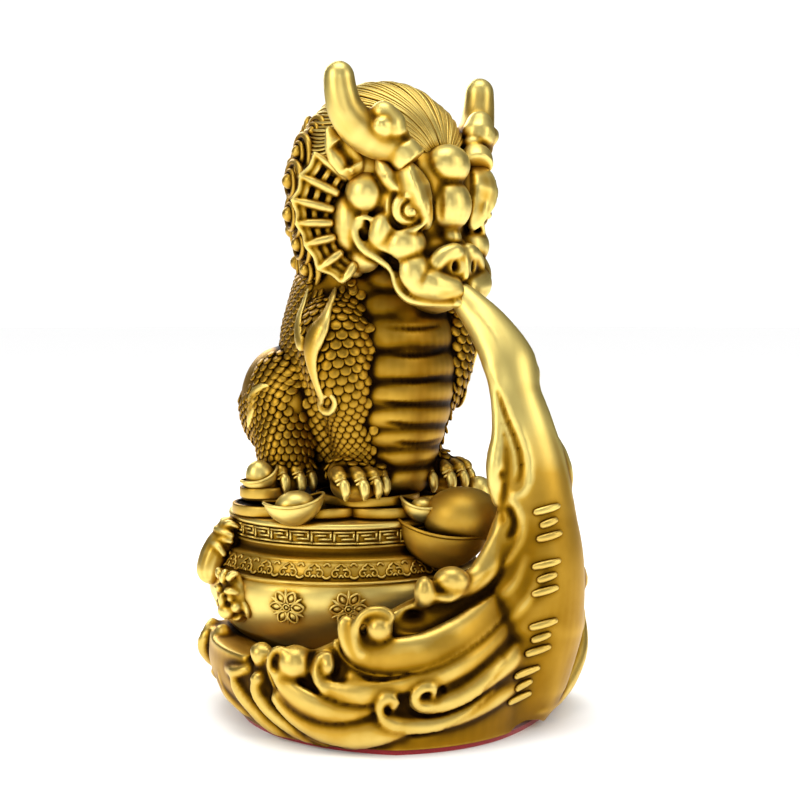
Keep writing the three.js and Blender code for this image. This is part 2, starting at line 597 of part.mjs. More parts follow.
// The frill behind the jaw: spines that fan out round the cheek, with a scalloped web between them.
function frill(side) {
  const spines = 7;
  const hub = { z: 137, r: 8 };
  const reach = [15, 18.5, 20.5, 20, 18.5, 17, 17.5];
  const [web, sink] = [1.4, 0.7];
  const turnOf = (i) => rad(lerp(66, -74, i / (spines - 1)));
  const outline = [new THREE.Vector2(0, hub.r * 0.6)];
  for (let i = 0; i < spines; i++) {
    const turn = turnOf(i);
    outline.push(new THREE.Vector2(Math.cos(turn), Math.sin(turn)).multiplyScalar(reach[i] - 1));
    if (i === spines - 1) continue;
    const between = (turn + turnOf(i + 1)) / 2;
    const dip = (reach[i] + reach[i + 1]) / 2 - 3.4;
    outline.push(new THREE.Vector2(Math.cos(between), Math.sin(between)).multiplyScalar(dip));
  }
  outline.push(new THREE.Vector2(0, -hub.r * 0.6));
  const sheet = new THREE.ExtrudeGeometry(new THREE.Shape(outline), { depth: web, bevelEnabled: false });
  // The sheet's own x runs outwards and back from the cheek, its y upwards.
  const outwards = head(-0.62, side * 0.78, 0).sub(head(0, 0, 0)).normalize();
  const up = vec(0, 0, 1);
  const normal = vec(0, 0, 0).crossVectors(outwards, up);
  const hubAt = head(2.5, 18 * side, hub.z);
  const place = new THREE.Matrix4().makeBasis(outwards, up, normal).setPosition(hubAt);
  const onSheet = (turn, r) => vec(Math.cos(turn) * r, Math.sin(turn) * r, 0).applyMatrix4(place);
  const ribs = reach.map((r, i) =>
    limb([onSheet(turnOf(i), hub.r), onSheet(turnOf(i), r)], [1.7, 0.7], { sides: 4, rings: 3 }),
  );
  return [solid(sheet.translate(0, 0, -sink).applyMatrix4(place)), ribs];
}

// The mane: a dome of combed locks that run from the forehead back, and rows of curls below it.
const MANE = { f: -9.5, z: 149, rf: 23.5, rl: 26.4, rz: 26.6 };

function mane() {
  const locks = 11;
  const rings = 2 * locks;
  const dome = new THREE.SphereGeometry(1, 14, rings);
  const place = dome.attributes.position;
  for (let i = 0; i < place.count; i++) {
    const { ring } = ringOf(place, i, rings);
    const swell = ring % 2 && ring > 1 && ring < rings - 1 ? 1.035 : 0.985;
    const [x, y, z] = [place.getX(i), place.getY(i), place.getZ(i)];
    const spot = head(MANE.f + x * MANE.rf * swell, y * MANE.rl, MANE.z + z * MANE.rz * swell);
    place.setXYZ(i, spot.x, spot.y, spot.z);
  }
  const nape = limb([head(-10, 0, 140), head(-13, 0, 128), head(-13, 0, 116), head(-12, 0, 106)], [25, 25, 21, 12],
    { sides: 10, rings: 6 });
  return [solid(dome), nape];
}

// A curl on the mane: turn goes round from the front over the left side, z is its height.
function curls() {
  const rows = [
    { turns: [127, 148, 170], z: 158, r: 3.2 },
    { turns: [114, 138, 164], z: 149, r: 4.2 },
    { turns: [112, 137, 164], z: 138.5, r: 4.8 },
    { turns: [116, 141, 168], z: 128, r: 4.6 },
  ];
  return rows.flatMap(({ turns, z, r }) =>
    turns.flatMap((turn) =>
      pair((side) => {
        const squeeze = Math.sqrt(Math.max(0.72, 1 - ((z - MANE.z) / MANE.rz) ** 2));
        const centre = [
          MANE.f + Math.cos(rad(turn)) * MANE.rf * squeeze,
          Math.sin(rad(turn)) * MANE.rl * squeeze * side,
          z,
        ];
        return blob(head, centre, [r, r, r * 1.1], { sides: 6, rings: 4 });
      }),
    ),
  );
}

function beast() {
  return [
    torso(),
    bellyPlates(),
    pair(foreleg),
    pair(haunch),
    pair(ornaments),
    tail(),
    skull(),
    forehead(),
    pair(faceSide),
    nose(),
    pair(horn),
    pair(ear),
    pair(frill),
    mane(),
    curls(),
  ];
}

// The felt pad, cut to the casting's flat underside.
function feltPad() {
  const steps = 40;
  const outline = new THREE.Shape(
    Array.from({ length: steps }, (_, i) => {
      const edge = onBank((i / steps) * 2 * Math.PI, CAST_Z, -FELT.inset);
      return new THREE.Vector2(edge.x, edge.y);
    }),
  );
  return new THREE.ExtrudeGeometry(outline, { depth: FELT.thick, bevelEnabled: false });
}

// Everything below the casting's flat underside is cut away.
function flatUnderside(casting) {
  const slab = 30;
  const below = new THREE.BoxGeometry(200, 200, slab).translate(0, 0, CAST_Z - slab / 2);
  return casting.subtract(solid(below));
}

function geometryOf(manifold) {
  const mesh = manifold.getMesh();
  const geometry = new THREE.BufferGeometry();
  geometry.setAttribute("position", new THREE.BufferAttribute(mesh.vertProperties, 3));
  geometry.setIndex(new THREE.BufferAttribute(mesh.triVerts, 1));
  geometry.computeVertexNormals();
  return geometry;
}

// Thinning: where forms meet, the joined skin has many slivers. The ends of the edges that tell least
// are drawn together until the wanted number of triangles is left, and the skin stays closed.

// The squared distances from a triangle's plane, weighted by its area, as a symmetric 4x4 form.
function planeForm(a, b, c) {
  const normal = b.clone().sub(a).cross(c.clone().sub(a));
  const area = normal.length() / 2;
  normal.normalize();
  const plane = [normal.x, normal.y, normal.z, -normal.dot(a)];
  return plane.flatMap((p, i) => plane.slice(i).map((q) => area * p * q));
}

function formAt(form, { x, y, z }) {
  const spot = [x, y, z, 1];
  let sum = 0;
  let k = 0;
  for (let i = 0; i < 4; i++)
    for (let j = i; j < 4; j++) sum += (i === j ? 1 : 2) * form[k++] * spot[i] * spot[j];
  return sum;
}

// The corners that share a triangle with a corner.
function neighboursOf(corner, fans, faces) {
  return new Set(fans[corner].flatMap((f) => faces[f]).filter((other) => other !== corner));
}

// Whether a triangle keeps facing the same way, with some area, once one corner moves.
function keepsFacing(face, from, to, points) {
  const before = face.map((corner) => points[corner]);
  const after = face.map((corner) => points[corner === from ? to : corner]);
  const facing = ([a, b, c]) => b.clone().sub(a).cross(c.clone().sub(a));
  const [old, fresh] = [facing(before), facing(after)];
  const longest = Math.max(...after.map((p, i) => p.distanceToSquared(after[(i + 1) % 3])));
  return fresh.length() > 0.04 * longest && fresh.dot(old) > 0.35 * fresh.length() * old.length();
}

// One pass over the cheapest edges, each touching corners that no other edge of the pass has touched.
function thinOnce(points, faces, forms, target) {
  const fans = points.map(() => []);
  faces.forEach((face, f) => face.forEach((corner) => fans[corner].push(f)));
  const edges = faces.flatMap((face) =>
    face.flatMap((a, i) => {
      const b = face[(i + 1) % 3];
      const onlyOneIsDown = points[a].z < CAST_Z + 1e-3 && points[b].z > CAST_Z + 1e-3;
      if (onlyOneIsDown) return [];
      const form = forms[a].map((value, k) => value + forms[b][k]);
      const cost = formAt(form, points[b]) + 1e-4 * points[a].distanceToSquared(points[b]);
      return [{ from: a, to: b, cost }];
    }),
  );
  edges.sort((one, two) => one.cost - two.cost);
  const share = 0.3;
  const touched = new Uint8Array(points.length);
  const gone = new Set();
  for (const { from, to } of edges.slice(0, Math.ceil(edges.length * share))) {
    if (faces.length - gone.size <= target) break;
    if (touched[from] || touched[to]) continue;
    const nearFrom = neighboursOf(from, fans, faces);
    const shared = [...neighboursOf(to, fans, faces)].filter((corner) => nearFrom.has(corner));
    if (shared.length !== 2) continue;
    const dropped = fans[from].filter((f) => faces[f].includes(to));
    const turned = fans[from].filter((f) => !faces[f].includes(to));
    if (!turned.every((f) => keepsFacing(faces[f], from, to, points))) continue;
    [...nearFrom, from, to].forEach((corner) => (touched[corner] = 1));
    dropped.forEach((f) => gone.add(f));
    turned.forEach((f) => (faces[f] = faces[f].map((corner) => (corner === from ? to : corner))));
    forms[to] = forms[to].map((value, k) => value + forms[from][k]);
  }
  return faces.filter((_, f) => !gone.has(f));
}

function thinned(manifold, target) {
  const mesh = manifold.getMesh();
  const threes = (list, i) => [...list.subarray(3 * i, 3 * i + 3)];
  const points = Array.from({ length: mesh.numVert }, (_, i) => vec(...threes(mesh.vertProperties, i)));
  let faces = Array.from({ length: mesh.numTri }, (_, i) => threes(mesh.triVerts, i));
  const forms = points.map(() => new Array(10).fill(0));
  faces.forEach((face) => {
    const form = planeForm(...face.map((corner) => points[corner]));
    face.forEach((corner) => form.forEach((value, k) => (forms[corner][k] += value)));
  });
  let before = Infinity;
  while (faces.length > target && faces.length < before) {
    before = faces.length;
    faces = thinOnce(points, faces, forms, target);
  }
  return new THREE.BufferGeometry().setFromPoints(points).setIndex(faces.flat());
}

const brass = new THREE.MeshStandardMaterial({ color: 0xb8912f, roughness: 0.35, metalness: 1 });
const redFelt = new THREE.MeshStandardMaterial({ color: 0x8c1420, roughness: 1, metalness: 0 });

// The large forms are thinned first, so that the small relief joined to them afterwards stays crisp.
function figurine() {
  const forms = join([bankCore(), frontWaves(), backWaves(), jet(), basin(), basinRelief(), treasure(), beast()]);
  const carved = hollows().flat().reduce((whole, cut) => whole.subtract(cut), forms);
  const large = solid(thinned(skinOf(flatUnderside(carved)), FORM_TRIANGLES));
  const whole = skinOf(join([large, strokes(), flowers()]));
  const mesh = new THREE.Mesh(geometryOf(whole), brass);
  mesh.name = "figurine";
  return mesh;
}

function felt() {
  const mesh = new THREE.Mesh(feltPad(), redFelt);
  mesh.name = "felt_pad";
  return mesh;
}

const part = new THREE.Group();
part.add(figurine(), felt());

export default part;
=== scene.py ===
"""A cast brass qilin on a treasure basin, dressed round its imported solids.

Each form is worked like clay: closed shapes are pressed together, skinned over with a fine voxel
remesh, eased, and then cut and raised along named strokes. Crisp relief, such as scales, hair, coins
and the basin's bands, is laid on top as pieces of its own. Sizes are millimetres until a piece is
finished, and then metres.
"""

from __future__ import annotations

import json
import logging
import math
import random
import sys
from dataclasses import dataclass
from enum import Enum
from functools import lru_cache
from typing import Callable, Iterable, Sequence

import bmesh
import bpy
import numpy as np
from mathutils import Euler, Matrix, Vector
from mathutils.bvhtree import BVHTree

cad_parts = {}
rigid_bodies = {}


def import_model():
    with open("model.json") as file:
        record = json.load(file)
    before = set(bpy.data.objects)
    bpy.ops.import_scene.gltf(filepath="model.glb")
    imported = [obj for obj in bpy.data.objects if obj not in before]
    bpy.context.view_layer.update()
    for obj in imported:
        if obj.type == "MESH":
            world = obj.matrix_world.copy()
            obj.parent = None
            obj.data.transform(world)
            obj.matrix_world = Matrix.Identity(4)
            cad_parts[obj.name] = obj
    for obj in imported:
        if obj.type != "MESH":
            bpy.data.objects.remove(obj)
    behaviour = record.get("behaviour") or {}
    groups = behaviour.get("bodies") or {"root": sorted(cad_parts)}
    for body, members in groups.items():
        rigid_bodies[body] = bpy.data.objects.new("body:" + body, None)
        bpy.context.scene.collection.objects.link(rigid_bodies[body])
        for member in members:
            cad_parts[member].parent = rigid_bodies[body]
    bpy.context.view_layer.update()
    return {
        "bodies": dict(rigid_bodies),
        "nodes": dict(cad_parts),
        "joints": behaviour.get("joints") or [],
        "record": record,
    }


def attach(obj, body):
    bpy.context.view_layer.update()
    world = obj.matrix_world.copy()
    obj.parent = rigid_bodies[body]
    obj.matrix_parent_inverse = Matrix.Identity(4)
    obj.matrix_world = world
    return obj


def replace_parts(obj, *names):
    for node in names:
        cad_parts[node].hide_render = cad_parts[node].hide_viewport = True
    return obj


LOG = logging.getLogger("figurine")
MM = 0.001
UP = Vector((0, 0, 1))
SIDES = (-1, 1)
Point = Sequence[float]
Form = tuple[list[Vector], list[float]]
Finish = bpy.types.Material
Shape = bpy.types.Object


# Curves and local frames


def blend(a: float, b: float, t: float) -> float:
    """Returns the value a share t of the way from a to b."""
    return a + (b - a) * t


def spread(first: float, last: float, count: int) -> list[float]:
    """Returns evenly spaced values from first to last, both included."""
    return [float(x) for x in np.linspace(first, last, count)]


class Path:
    """A smooth curve through a few marks, kept as closely spaced points."""

    STEPS = 12

    def __init__(self, marks: Iterable[Point], closed: bool = False) -> None:
        """Runs a Catmull-Rom curve through the marks.

        Args:
            marks: The points that the curve passes through.
            closed: Whether the curve joins up with its own start.
        """
        knots = np.array([tuple(mark) for mark in marks], float)
        if closed:
            padded = np.vstack([knots[-1], knots, knots[0], knots[1]])
        else:
            padded = np.vstack([2 * knots[0] - knots[1], knots, 2 * knots[-1] - knots[-2]])
        t = np.linspace(0, 1, self.STEPS, endpoint=False)[:, None]
        spans = []
        for a, b, c, d in zip(padded, padded[1:], padded[2:], padded[3:]):
            cubic = 2 * b + (c - a) * t + (2 * a - 5 * b + 4 * c - d) * t**2
            spans.append(0.5 * (cubic + (3 * b - a - 3 * c + d) * t**3))
        ends = padded[-2][None, :]
        self.points = np.vstack(spans + [ends])
        legs = np.linalg.norm(np.diff(self.points, axis=0), axis=1)
        self.reach = np.concatenate([[0.0], np.cumsum(legs)])

    @property
    def length(self) -> float:
        """The curve's length."""
        return float(self.reach[-1])

    def at(self, distance: np.ndarray) -> np.ndarray:
        """Returns the points at some distances along the curve."""
        return np.stack([np.interp(distance, self.reach, self.points[:, i]) for i in range(3)], axis=1)

    def heading(self, distance: np.ndarray) -> np.ndarray:
        """Returns the unit directions of travel at some distances along the curve.

        Args:
            distance: How far along the curve.

        Returns:
            One direction for each distance.
        """
        step = self.length / 200
        ahead = self.at(np.minimum(distance + step, self.length))
        behind = self.at(np.maximum(distance - step, 0))
        return unit(ahead - behind)

    def frames(self, distance: np.ndarray, face: Point | None = None) -> tuple[np.ndarray, np.ndarray]:
        """Works out two directions square to the curve at some distances along it.

        Args:
            distance: How far along, in rising order.
            face: The side that the second direction keeps to, or None for the least twist.

        Returns:
            The directions across the curve, and those that stand out from it.
        """
        heading = self.heading(distance)
        if face is not None:
            across = unit(np.cross(heading, np.array(tuple(face), float)))
            return across, np.cross(across, heading)
        start = np.eye(3)[np.argmin(np.abs(heading[0]))]
        rows = [unit(np.cross(heading[0], start)[None, :])[0]]
        for way in heading[1:]:
            turned = rows[-1] - way * (rows[-1] @ way)
            rows.append(turned / max(np.linalg.norm(turned), 1e-9))
        across = np.array(rows)
        return across, np.cross(across, heading)


def unit(vectors: np.ndarray) -> np.ndarray:
    """Returns the vectors scaled to length one."""
    return vectors / np.maximum(np.linalg.norm(vectors, axis=-1, keepdims=True), 1e-9)


@dataclass(frozen=True)
class Stance:
    """A turned local frame: f runs forwards, l to the beast's left and z up."""

    x: float = 0.0
    y: float = 0.0
    yaw: float = 90.0

    @property
    def basis(self) -> Matrix:
        """The frame's three directions, as the columns of a matrix."""
        s, c = math.sin(math.radians(self.yaw)), math.cos(math.radians(self.yaw))
        return Matrix(((s, c, 0), (-c, s, 0), (0, 0, 1)))

    def __call__(self, f: float, l: float, z: float) -> Vector:
        """Returns the place that f, l and z name, in the object's own frame."""
        return Vector((self.x, self.y, 0)) + self.basis @ Vector((f, l, z))

    def way(self, f: float, l: float, z: float) -> Vector:
        """Returns the direction that f, l and z name."""
        return (self.basis @ Vector((f, l, z))).normalized()



# Clay: closed forms that are pressed together


@lru_cache
def unit_sphere(sides: int, rings: int) -> tuple[bpy.types.Mesh, np.ndarray]:
    """Makes a sphere of radius one, once for each choice of sides and rings.

    Args:
        sides: How many sides it has.
        rings: How many rings it has.

    Returns:
        Its mesh, and its corners, one row each.
    """
    bm = bmesh.new()
    bmesh.ops.create_uvsphere(bm, u_segments=sides, v_segments=rings, radius=1)
    mesh = bpy.data.meshes.new("sphere")
    bm.to_mesh(mesh)
    bm.free()
    return mesh, np.array([v.co for v in mesh.vertices])


class Clay:
    """Closed forms in one soft mass."""

    CAP = 4

    def __init__(self) -> None:
        """Starts with nothing."""
        self.bm = bmesh.new()

    def add(self, mesh: bpy.types.Mesh, corners: np.ndarray) -> None:
        """Adds a copy of a mesh with its corners moved to the given places."""
        mesh.vertices.foreach_set("co", corners.ravel())
        self.bm.from_mesh(mesh)

    def ball(self, place: Point, radii: Point | float, basis: Matrix | None = None, pitch: float = 0,
             sides: int = 20) -> None:
        """Adds an ellipsoid.

        Args:
            place: Its centre.
            radii: Its three half sizes, or one for a round ball.
            basis: The frame that the half sizes are in.
            pitch: How far its front is lifted, in degrees.
            sides: How many sides it has round its axis.
        """
        size = (radii,) * 3 if isinstance(radii, (int, float)) else radii
        turn = Euler((0, math.radians(-pitch), 0)).to_matrix()
        frame = np.array((basis or Matrix.Identity(3)) @ turn @ Matrix.Diagonal(size))
        mesh, unit_ball = unit_sphere(sides, max(6, sides * 2 // 3))
        self.add(mesh, unit_ball @ frame.T + np.array(tuple(place)))

    def limb(self, marks: Iterable[Point], radii: Sequence[float], flat: float | Sequence[float] = 1,
             face: Point | None = None, sides: int = 14, step: float = 1.2, keel: float = 0,
             blunt: bool = False, closed: bool = False) -> None:
        """Adds a closed tapered limb: a sphere's rings are drawn along a curve.

        Args:
            marks: The points that its middle line passes through.
            radii: Its half widths, evenly spread along it.
            flat: Its half thickness as a share of its half width, or several shares evenly spread along it.
            face: The side that it is thin towards, or None.
            sides: How many sides it has.
            step: How far its rings stand apart.
            keel: How far a sharp edge is drawn out on its face side, as a share of its half width.
            blunt: Whether its ends are cut square rather than rounded.
            closed: Whether it comes round to its own start.
        """
        path = Path(marks, closed)
        ends = (min(radii[0], path.length / 2.2), min(radii[-1], path.length / 2.2))
        middle = max(2, round(path.length / step))
        rings = 2 * self.CAP + middle
        mesh, sphere = unit_sphere(sides, rings)
        ring = np.rint(np.arccos(np.clip(sphere[:, 2], -1, 1)) / math.pi * rings).astype(int)
        around = np.arctan2(sphere[:, 1], sphere[:, 0])
        bend = np.linspace(0, math.pi / 2, self.CAP + 1)
        start = ends[0] * (1 - np.cos(bend))
        stop = path.length - ends[1] * (1 - np.cos(bend[::-1]))
        between = np.linspace(start[-1], stop[0], middle + 1)[1:-1]
        where = np.concatenate([start, between, stop])
        cap = np.concatenate([np.sin(bend), np.ones(middle - 1), np.sin(bend[::-1])])
        if blunt:
            cap = np.where(cap > 0.01, 1.0, 0.0)
        share = where / path.length
        width = cap * np.interp(share, np.linspace(0, 1, len(radii)), radii)
        flats = [flat] if isinstance(flat, (int, float)) else flat
        thin = width * np.interp(share, np.linspace(0, 1, len(flats)), flats)
        spot = path.at(where)
        across, out = path.frames(where, face)
        lift = 1 + keel * np.maximum(0, np.sin(around)) ** 6
        moved = spot[ring] + across[ring] * (np.cos(around) * width[ring])[:, None]
        self.add(mesh, moved + out[ring] * (np.sin(around) * lift * thin[ring])[:, None])

    def turned(self, profile: Sequence[tuple[float, float]], centre: Point, sides: int) -> None:
        """Adds a turned form: a profile of radius and height spun about an upright axis.

        Args:
            profile: Radius and height, starting and ending on the axis.
            centre: Where the profile's own zero height is on the axis.
            sides: How many sides it has.
        """
        lathe = bmesh.new()
        verts = [lathe.verts.new((r, 0, z)) for r, z in profile]
        edges = [lathe.edges.new(pair) for pair in zip(verts, verts[1:])]
        bmesh.ops.spin(lathe, geom=verts + edges, cent=(0, 0, 0), axis=UP, angle=2 * math.pi, steps=sides,
            use_merge=True, use_normal_flip=False, use_duplicate=False)
        bmesh.ops.remove_doubles(lathe, verts=lathe.verts, dist=1e-4)
        bmesh.ops.recalc_face_normals(lathe, faces=lathe.faces)
        bmesh.ops.transform(lathe, matrix=Matrix.Translation(Vector(centre)), verts=lathe.verts)
        self.take(lathe)

    def take(self, other: bmesh.types.BMesh) -> None:
        """Adds everything in another bmesh, and lets go of that one.

        Args:
            other: The bmesh.
        """
        mesh = bpy.data.meshes.new("part")
        other.to_mesh(mesh)
        other.free()
        self.bm.from_mesh(mesh)
        bpy.data.meshes.remove(mesh)

    def cut_flat(self, z: float) -> None:
        """Cuts everything below a height away and closes the cut with one flat face.

        Args:
            z: The height.
        """
        geometry = self.bm.verts[:] + self.bm.edges[:] + self.bm.faces[:]
        cut = bmesh.ops.bisect_plane(self.bm, geom=geometry, plane_co=(0, 0, z), plane_no=UP,
            clear_inner=True)
        rim = [e for e in cut["geom_cut"] if isinstance(e, bmesh.types.BMEdge)]
        bmesh.ops.holes_fill(self.bm, edges=rim)
        bmesh.ops.recalc_face_normals(self.bm, faces=self.bm.faces)

    def settle(self, voxel: float, rounds: int) -> None:
        """Skins all the forms over as one and eases the skin.

        Args:
            voxel: The grain of the new skin.
            rounds: How many times it is eased.
        """
        mesh = bpy.data.meshes.new("clay")
        self.bm.to_mesh(mesh)
        lump = bpy.data.objects.new("clay", mesh)
        bpy.context.scene.collection.objects.link(lump)
        skin = lump.modifiers.new("skin", "REMESH")
        skin.mode = "VOXEL"
        skin.voxel_size = voxel
        ease = lump.modifiers.new("ease", "SMOOTH")
        ease.factor = 0.5
        ease.iterations = rounds
        graph = bpy.context.evaluated_depsgraph_get()
        settled = bpy.data.meshes.new_from_object(lump.evaluated_get(graph))
        self.bm.clear()
        self.bm.from_mesh(settled)
        bpy.data.objects.remove(lump)
        bpy.data.meshes.remove(mesh)
        bpy.data.meshes.remove(settled)

    def mesh(self, name: str) -> bpy.types.Mesh:
        """Returns the forms as a mesh, and lets go of them.

        Args:
            name: The mesh's name.

        Returns:
            The mesh.
        """
        made = bpy.data.meshes.new(name)
        self.bm.to_mesh(made)
        self.bm.free()
        return made


class Stamp:
    """One small form that is pressed on many times."""

    def __init__(self, clay: Clay) -> None:
        """Keeps the form that the clay holds."""
        self.mesh = clay.mesh("stamp")
        self.rest = np.empty(len(self.mesh.vertices) * 3)
        self.mesh.vertices.foreach_get("co", self.rest)

    def press(self, clay: Clay, matrix: Matrix) -> None:
        """Adds one copy of the form to some clay.

        Args:
            clay: The clay.
            matrix: Where the copy goes, and how it is turned and sized.
        """
        self.mesh.vertices.foreach_set("co", self.rest)
        self.mesh.transform(matrix)
        clay.bm.from_mesh(self.mesh)


def seat(place: Point, out: Point, up: Point) -> Matrix:
    """Returns the matrix that seats a form: its z points out, and its y as near up as it can.

    Args:
        place: Where it sits.
        out: The way that its z points.
        up: The way that its y leans.

    Returns:
        The matrix.
    """
    z = Vector(out).normalized()
    x = Vector(up).cross(z).normalized()
    basis = Matrix((x, z.cross(x), z)).transposed()
    return Matrix.Translation(Vector(place)) @ basis.to_4x4()


# Skin: a finished mesh that is sculpted by moving its vertices


class Skin:
    """The vertices of a mesh, moved by strokes and dents."""

    FINE = 0.05
    BROAD = 0.5

    def __init__(self, mesh: bpy.types.Mesh) -> None:
        """Reads the mesh's vertices, edges and normals.

        Args:
            mesh: The mesh.
        """
        self.mesh = mesh
        count = len(mesh.vertices)
        self.co = np.empty(count * 3)
        mesh.vertices.foreach_get("co", self.co)
        self.co = self.co.reshape(-1, 3)
        ends = np.empty(len(mesh.edges) * 2, np.int32)
        mesh.edges.foreach_get("vertices", ends)
        self.ends = ends.reshape(-1, 2)
        self.degree = np.maximum(np.bincount(ends, minlength=count), 1)
        self.normal = self.read_normals()

    def read_normals(self) -> np.ndarray:
        """Returns the vertex normals of the mesh as it is stored.

        Returns:
            The normals, one row each.
        """
        normals = np.empty(len(self.mesh.vertices) * 3)
        self.mesh.vertex_normals.foreach_get("vector", normals)
        return normals.reshape(-1, 3)

    def mean(self, values: np.ndarray) -> np.ndarray:
        """Returns, for each vertex, the mean of its neighbours' values.

        Args:
            values: A number or a row of numbers for each vertex.

        Returns:
            The means, in the same form.
        """
        a, b = self.ends.T
        columns = values if values.ndim == 2 else values[:, None]
        sums = [np.bincount(a, column[b], len(column)) + np.bincount(b, column[a], len(column))
            for column in columns.T]
        out = np.stack(sums, axis=1) / self.degree[:, None]
        return out if values.ndim == 2 else out[:, 0]

    def ease(self, rounds: int, factor: float = 0.5, share: np.ndarray | None = None) -> None:
        """Draws each vertex towards its neighbours, where share says how much.

        Args:
            rounds: How many times.
            factor: How far each time.
            share: How much of that each vertex takes, or None for all.
        """
        weight = factor if share is None else factor * share[:, None]
        for _ in range(rounds):
            self.co = self.co + (self.mean(self.co) - self.co) * weight

    def stroke(self, marks: Iterable[Point], height: float, width: float, beside: float | None = None,
               sharp: bool = False, fade: float = 0.2) -> None:
        """Raises a crest along a curve, or cuts a groove where the height is negative.

        Args:
            marks: The points that the stroke passes through.
            height: How far it stands out.
            width: How far from the curve it has mostly faded.
            beside: The same on its right-hand side as it runs, seen from outside, or None for the same.
            sharp: Whether its top is a sharp edge.
            fade: The share of its length over which each end fades.
        """
        path = Path(marks)
        even = np.linspace(0, path.length, max(8, int(path.length / 0.6)))
        line, heads = path.at(even), path.heading(even)
        reach = 2.6 * max(width, beside or width)
        found = np.nonzero(((self.co > line.min(0) - reach) & (self.co < line.max(0) + reach)).all(1))[0]
        if not len(found):
            return
        some = self.co[found]
        gap = np.full(len(found), 1e9)
        nearest = np.zeros(len(found), int)
        for k, spot in enumerate(line):
            here = ((some - spot) ** 2).sum(1)
            closer = here < gap
            gap[closer] = here[closer]
            nearest[closer] = k
        right = np.cross(heads[nearest], self.normal[found])
        side = ((some - line[nearest]) * right).sum(1)
        spans = np.where(side > 0, beside or width, width)
        away = np.sqrt(gap) / spans
        form = np.exp(-2 * away) if sharp else np.exp(-2 * away**2)
        form = np.maximum(0, form - math.exp(-5.2))
        along = nearest / (len(line) - 1)
        form *= np.clip(np.minimum(along, 1 - along) / fade, 0.0, 1.0) ** 0.7
        self.co[found] += self.normal[found] * (height * form)[:, None]

    def melt(self, marks: Iterable[Point], width: float, rounds: int) -> None:
        """Eases the skin along a curve, so that what meets there flows together.

        Args:
            marks: The points that the curve passes through.
            width: How far from the curve the easing has mostly faded.
            rounds: How many times it is eased.
        """
        path = Path(marks)
        line = path.at(np.linspace(0, path.length, max(4, int(path.length / 2))))
        gap = np.full(len(self.co), 1e9)
        for spot in line:
            gap = np.minimum(gap, ((self.co - spot) ** 2).sum(1))
        self.ease(rounds, 0.6, np.exp(-1.5 * (gap / width**2) ** 2))

    def dent(self, place: Point, radii: Point | float, depth: float, basis: Matrix | None = None,
             way: Point | None = None) -> None:
        """Presses a smooth hollow in, or a boss out where the depth is negative.

        Args:
            place: The hollow's middle.
            radii: Its three half sizes, or one.
            depth: How deep it is.
            basis: The frame that the half sizes are in.
            way: The direction that it is pressed in, or None for straight in.
        """
        size = np.array((radii,) * 3 if isinstance(radii, (int, float)) else tuple(radii), float)
        frame = np.array(basis or Matrix.Identity(3))
        local = ((self.co - np.array(tuple(place))) @ frame) / size
        gap = (local**2).sum(1)
        found = np.nonzero(gap < 4)[0]
        form = np.exp(-1.6 * gap[found])[:, None] * depth
        inwards = -self.normal[found] if way is None else np.array(tuple(way), float)[None, :]
        self.co[found] += inwards * form

    def store(self) -> None:
        """Writes the vertices back to the mesh and reads its new normals."""
        self.mesh.vertices.foreach_set("co", self.co.ravel())
        self.mesh.update()
        self.normal = self.read_normals()

    def mark_relief(self) -> None:
        """Stores how far each vertex stands proud of what is round it, near and far, from -1 to 1."""
        self.normal = self.read_normals()
        place = self.co
        for _ in range(3):
            place = self.mean(place)
        small = ((self.co - place) * self.normal).sum(1) / self.FINE
        for _ in range(36):
            place = self.mean(place)
        large = ((self.co - place) * self.normal).sum(1) / self.BROAD
        value = self.mean(np.clip(0.45 * np.tanh(small) + 0.75 * np.tanh(large), -1, 1))
        layer = self.mesh.attributes.get("relief") or self.mesh.attributes.new("relief", "FLOAT", "POINT")
        layer.data.foreach_set("value", value.astype(np.float32))


# Finishes


def linear(code: str) -> tuple[float, float, float, float]:
    """Turns an sRGB hex colour into a linear one with full alpha."""
    parts = [int(code[i : i + 2], 16) / 255 for i in (1, 3, 5)]
    return (*[c / 12.92 if c <= 0.04045 else ((c + 0.055) / 1.055) ** 2.4 for c in parts], 1.0)


class NodeBook:
    """The nodes of a material or of the world, added one at a time with their settings and links."""

    def __init__(self, owner: bpy.types.ID, output: str = "ShaderNodeOutputMaterial") -> None:
        """Clears the owner's nodes and adds its output.

        Args:
            owner: The material or the world.
            output: The type of its output node.
        """
        owner.use_nodes = True
        self.owner = owner
        self.tree = owner.node_tree
        self.tree.nodes.clear()
        self.output = self.tree.nodes.new(output)

    def add(self, kind: str, links: dict | None = None, stops: Sequence[tuple[float, str]] = (),
            **settings: object) -> bpy.types.Node:
        """Adds a node.

        Args:
            kind: The node's type.
            links: For each input, by name or number, an output socket or a plain value.
            stops: A colour ramp's places from 0 to 1 and their hex colours.
            settings: The node's own properties.

        Returns:
            The node.
        """
        node = self.tree.nodes.new(kind)
        for key, value in settings.items():
            setattr(node, key, value)
        for key, value in (links or {}).items():
            socket = node.inputs[key]
            if isinstance(value, bpy.types.NodeSocket):
                self.tree.links.new(value, socket)
            else:
                socket.default_value = value
        for k, (place, code) in enumerate(stops):
            band = node.color_ramp.elements
            element = band[k] if k < len(band) else band.new(place)
            element.position = place
            element.color = linear(code)
        return node

    def finish(self, shader: bpy.types.Node) -> bpy.types.ID:
        """Joins a shader to the output and returns the material or the world."""
        self.tree.links.new(shader.outputs[0], self.output.inputs["Surface"])
        return self.owner


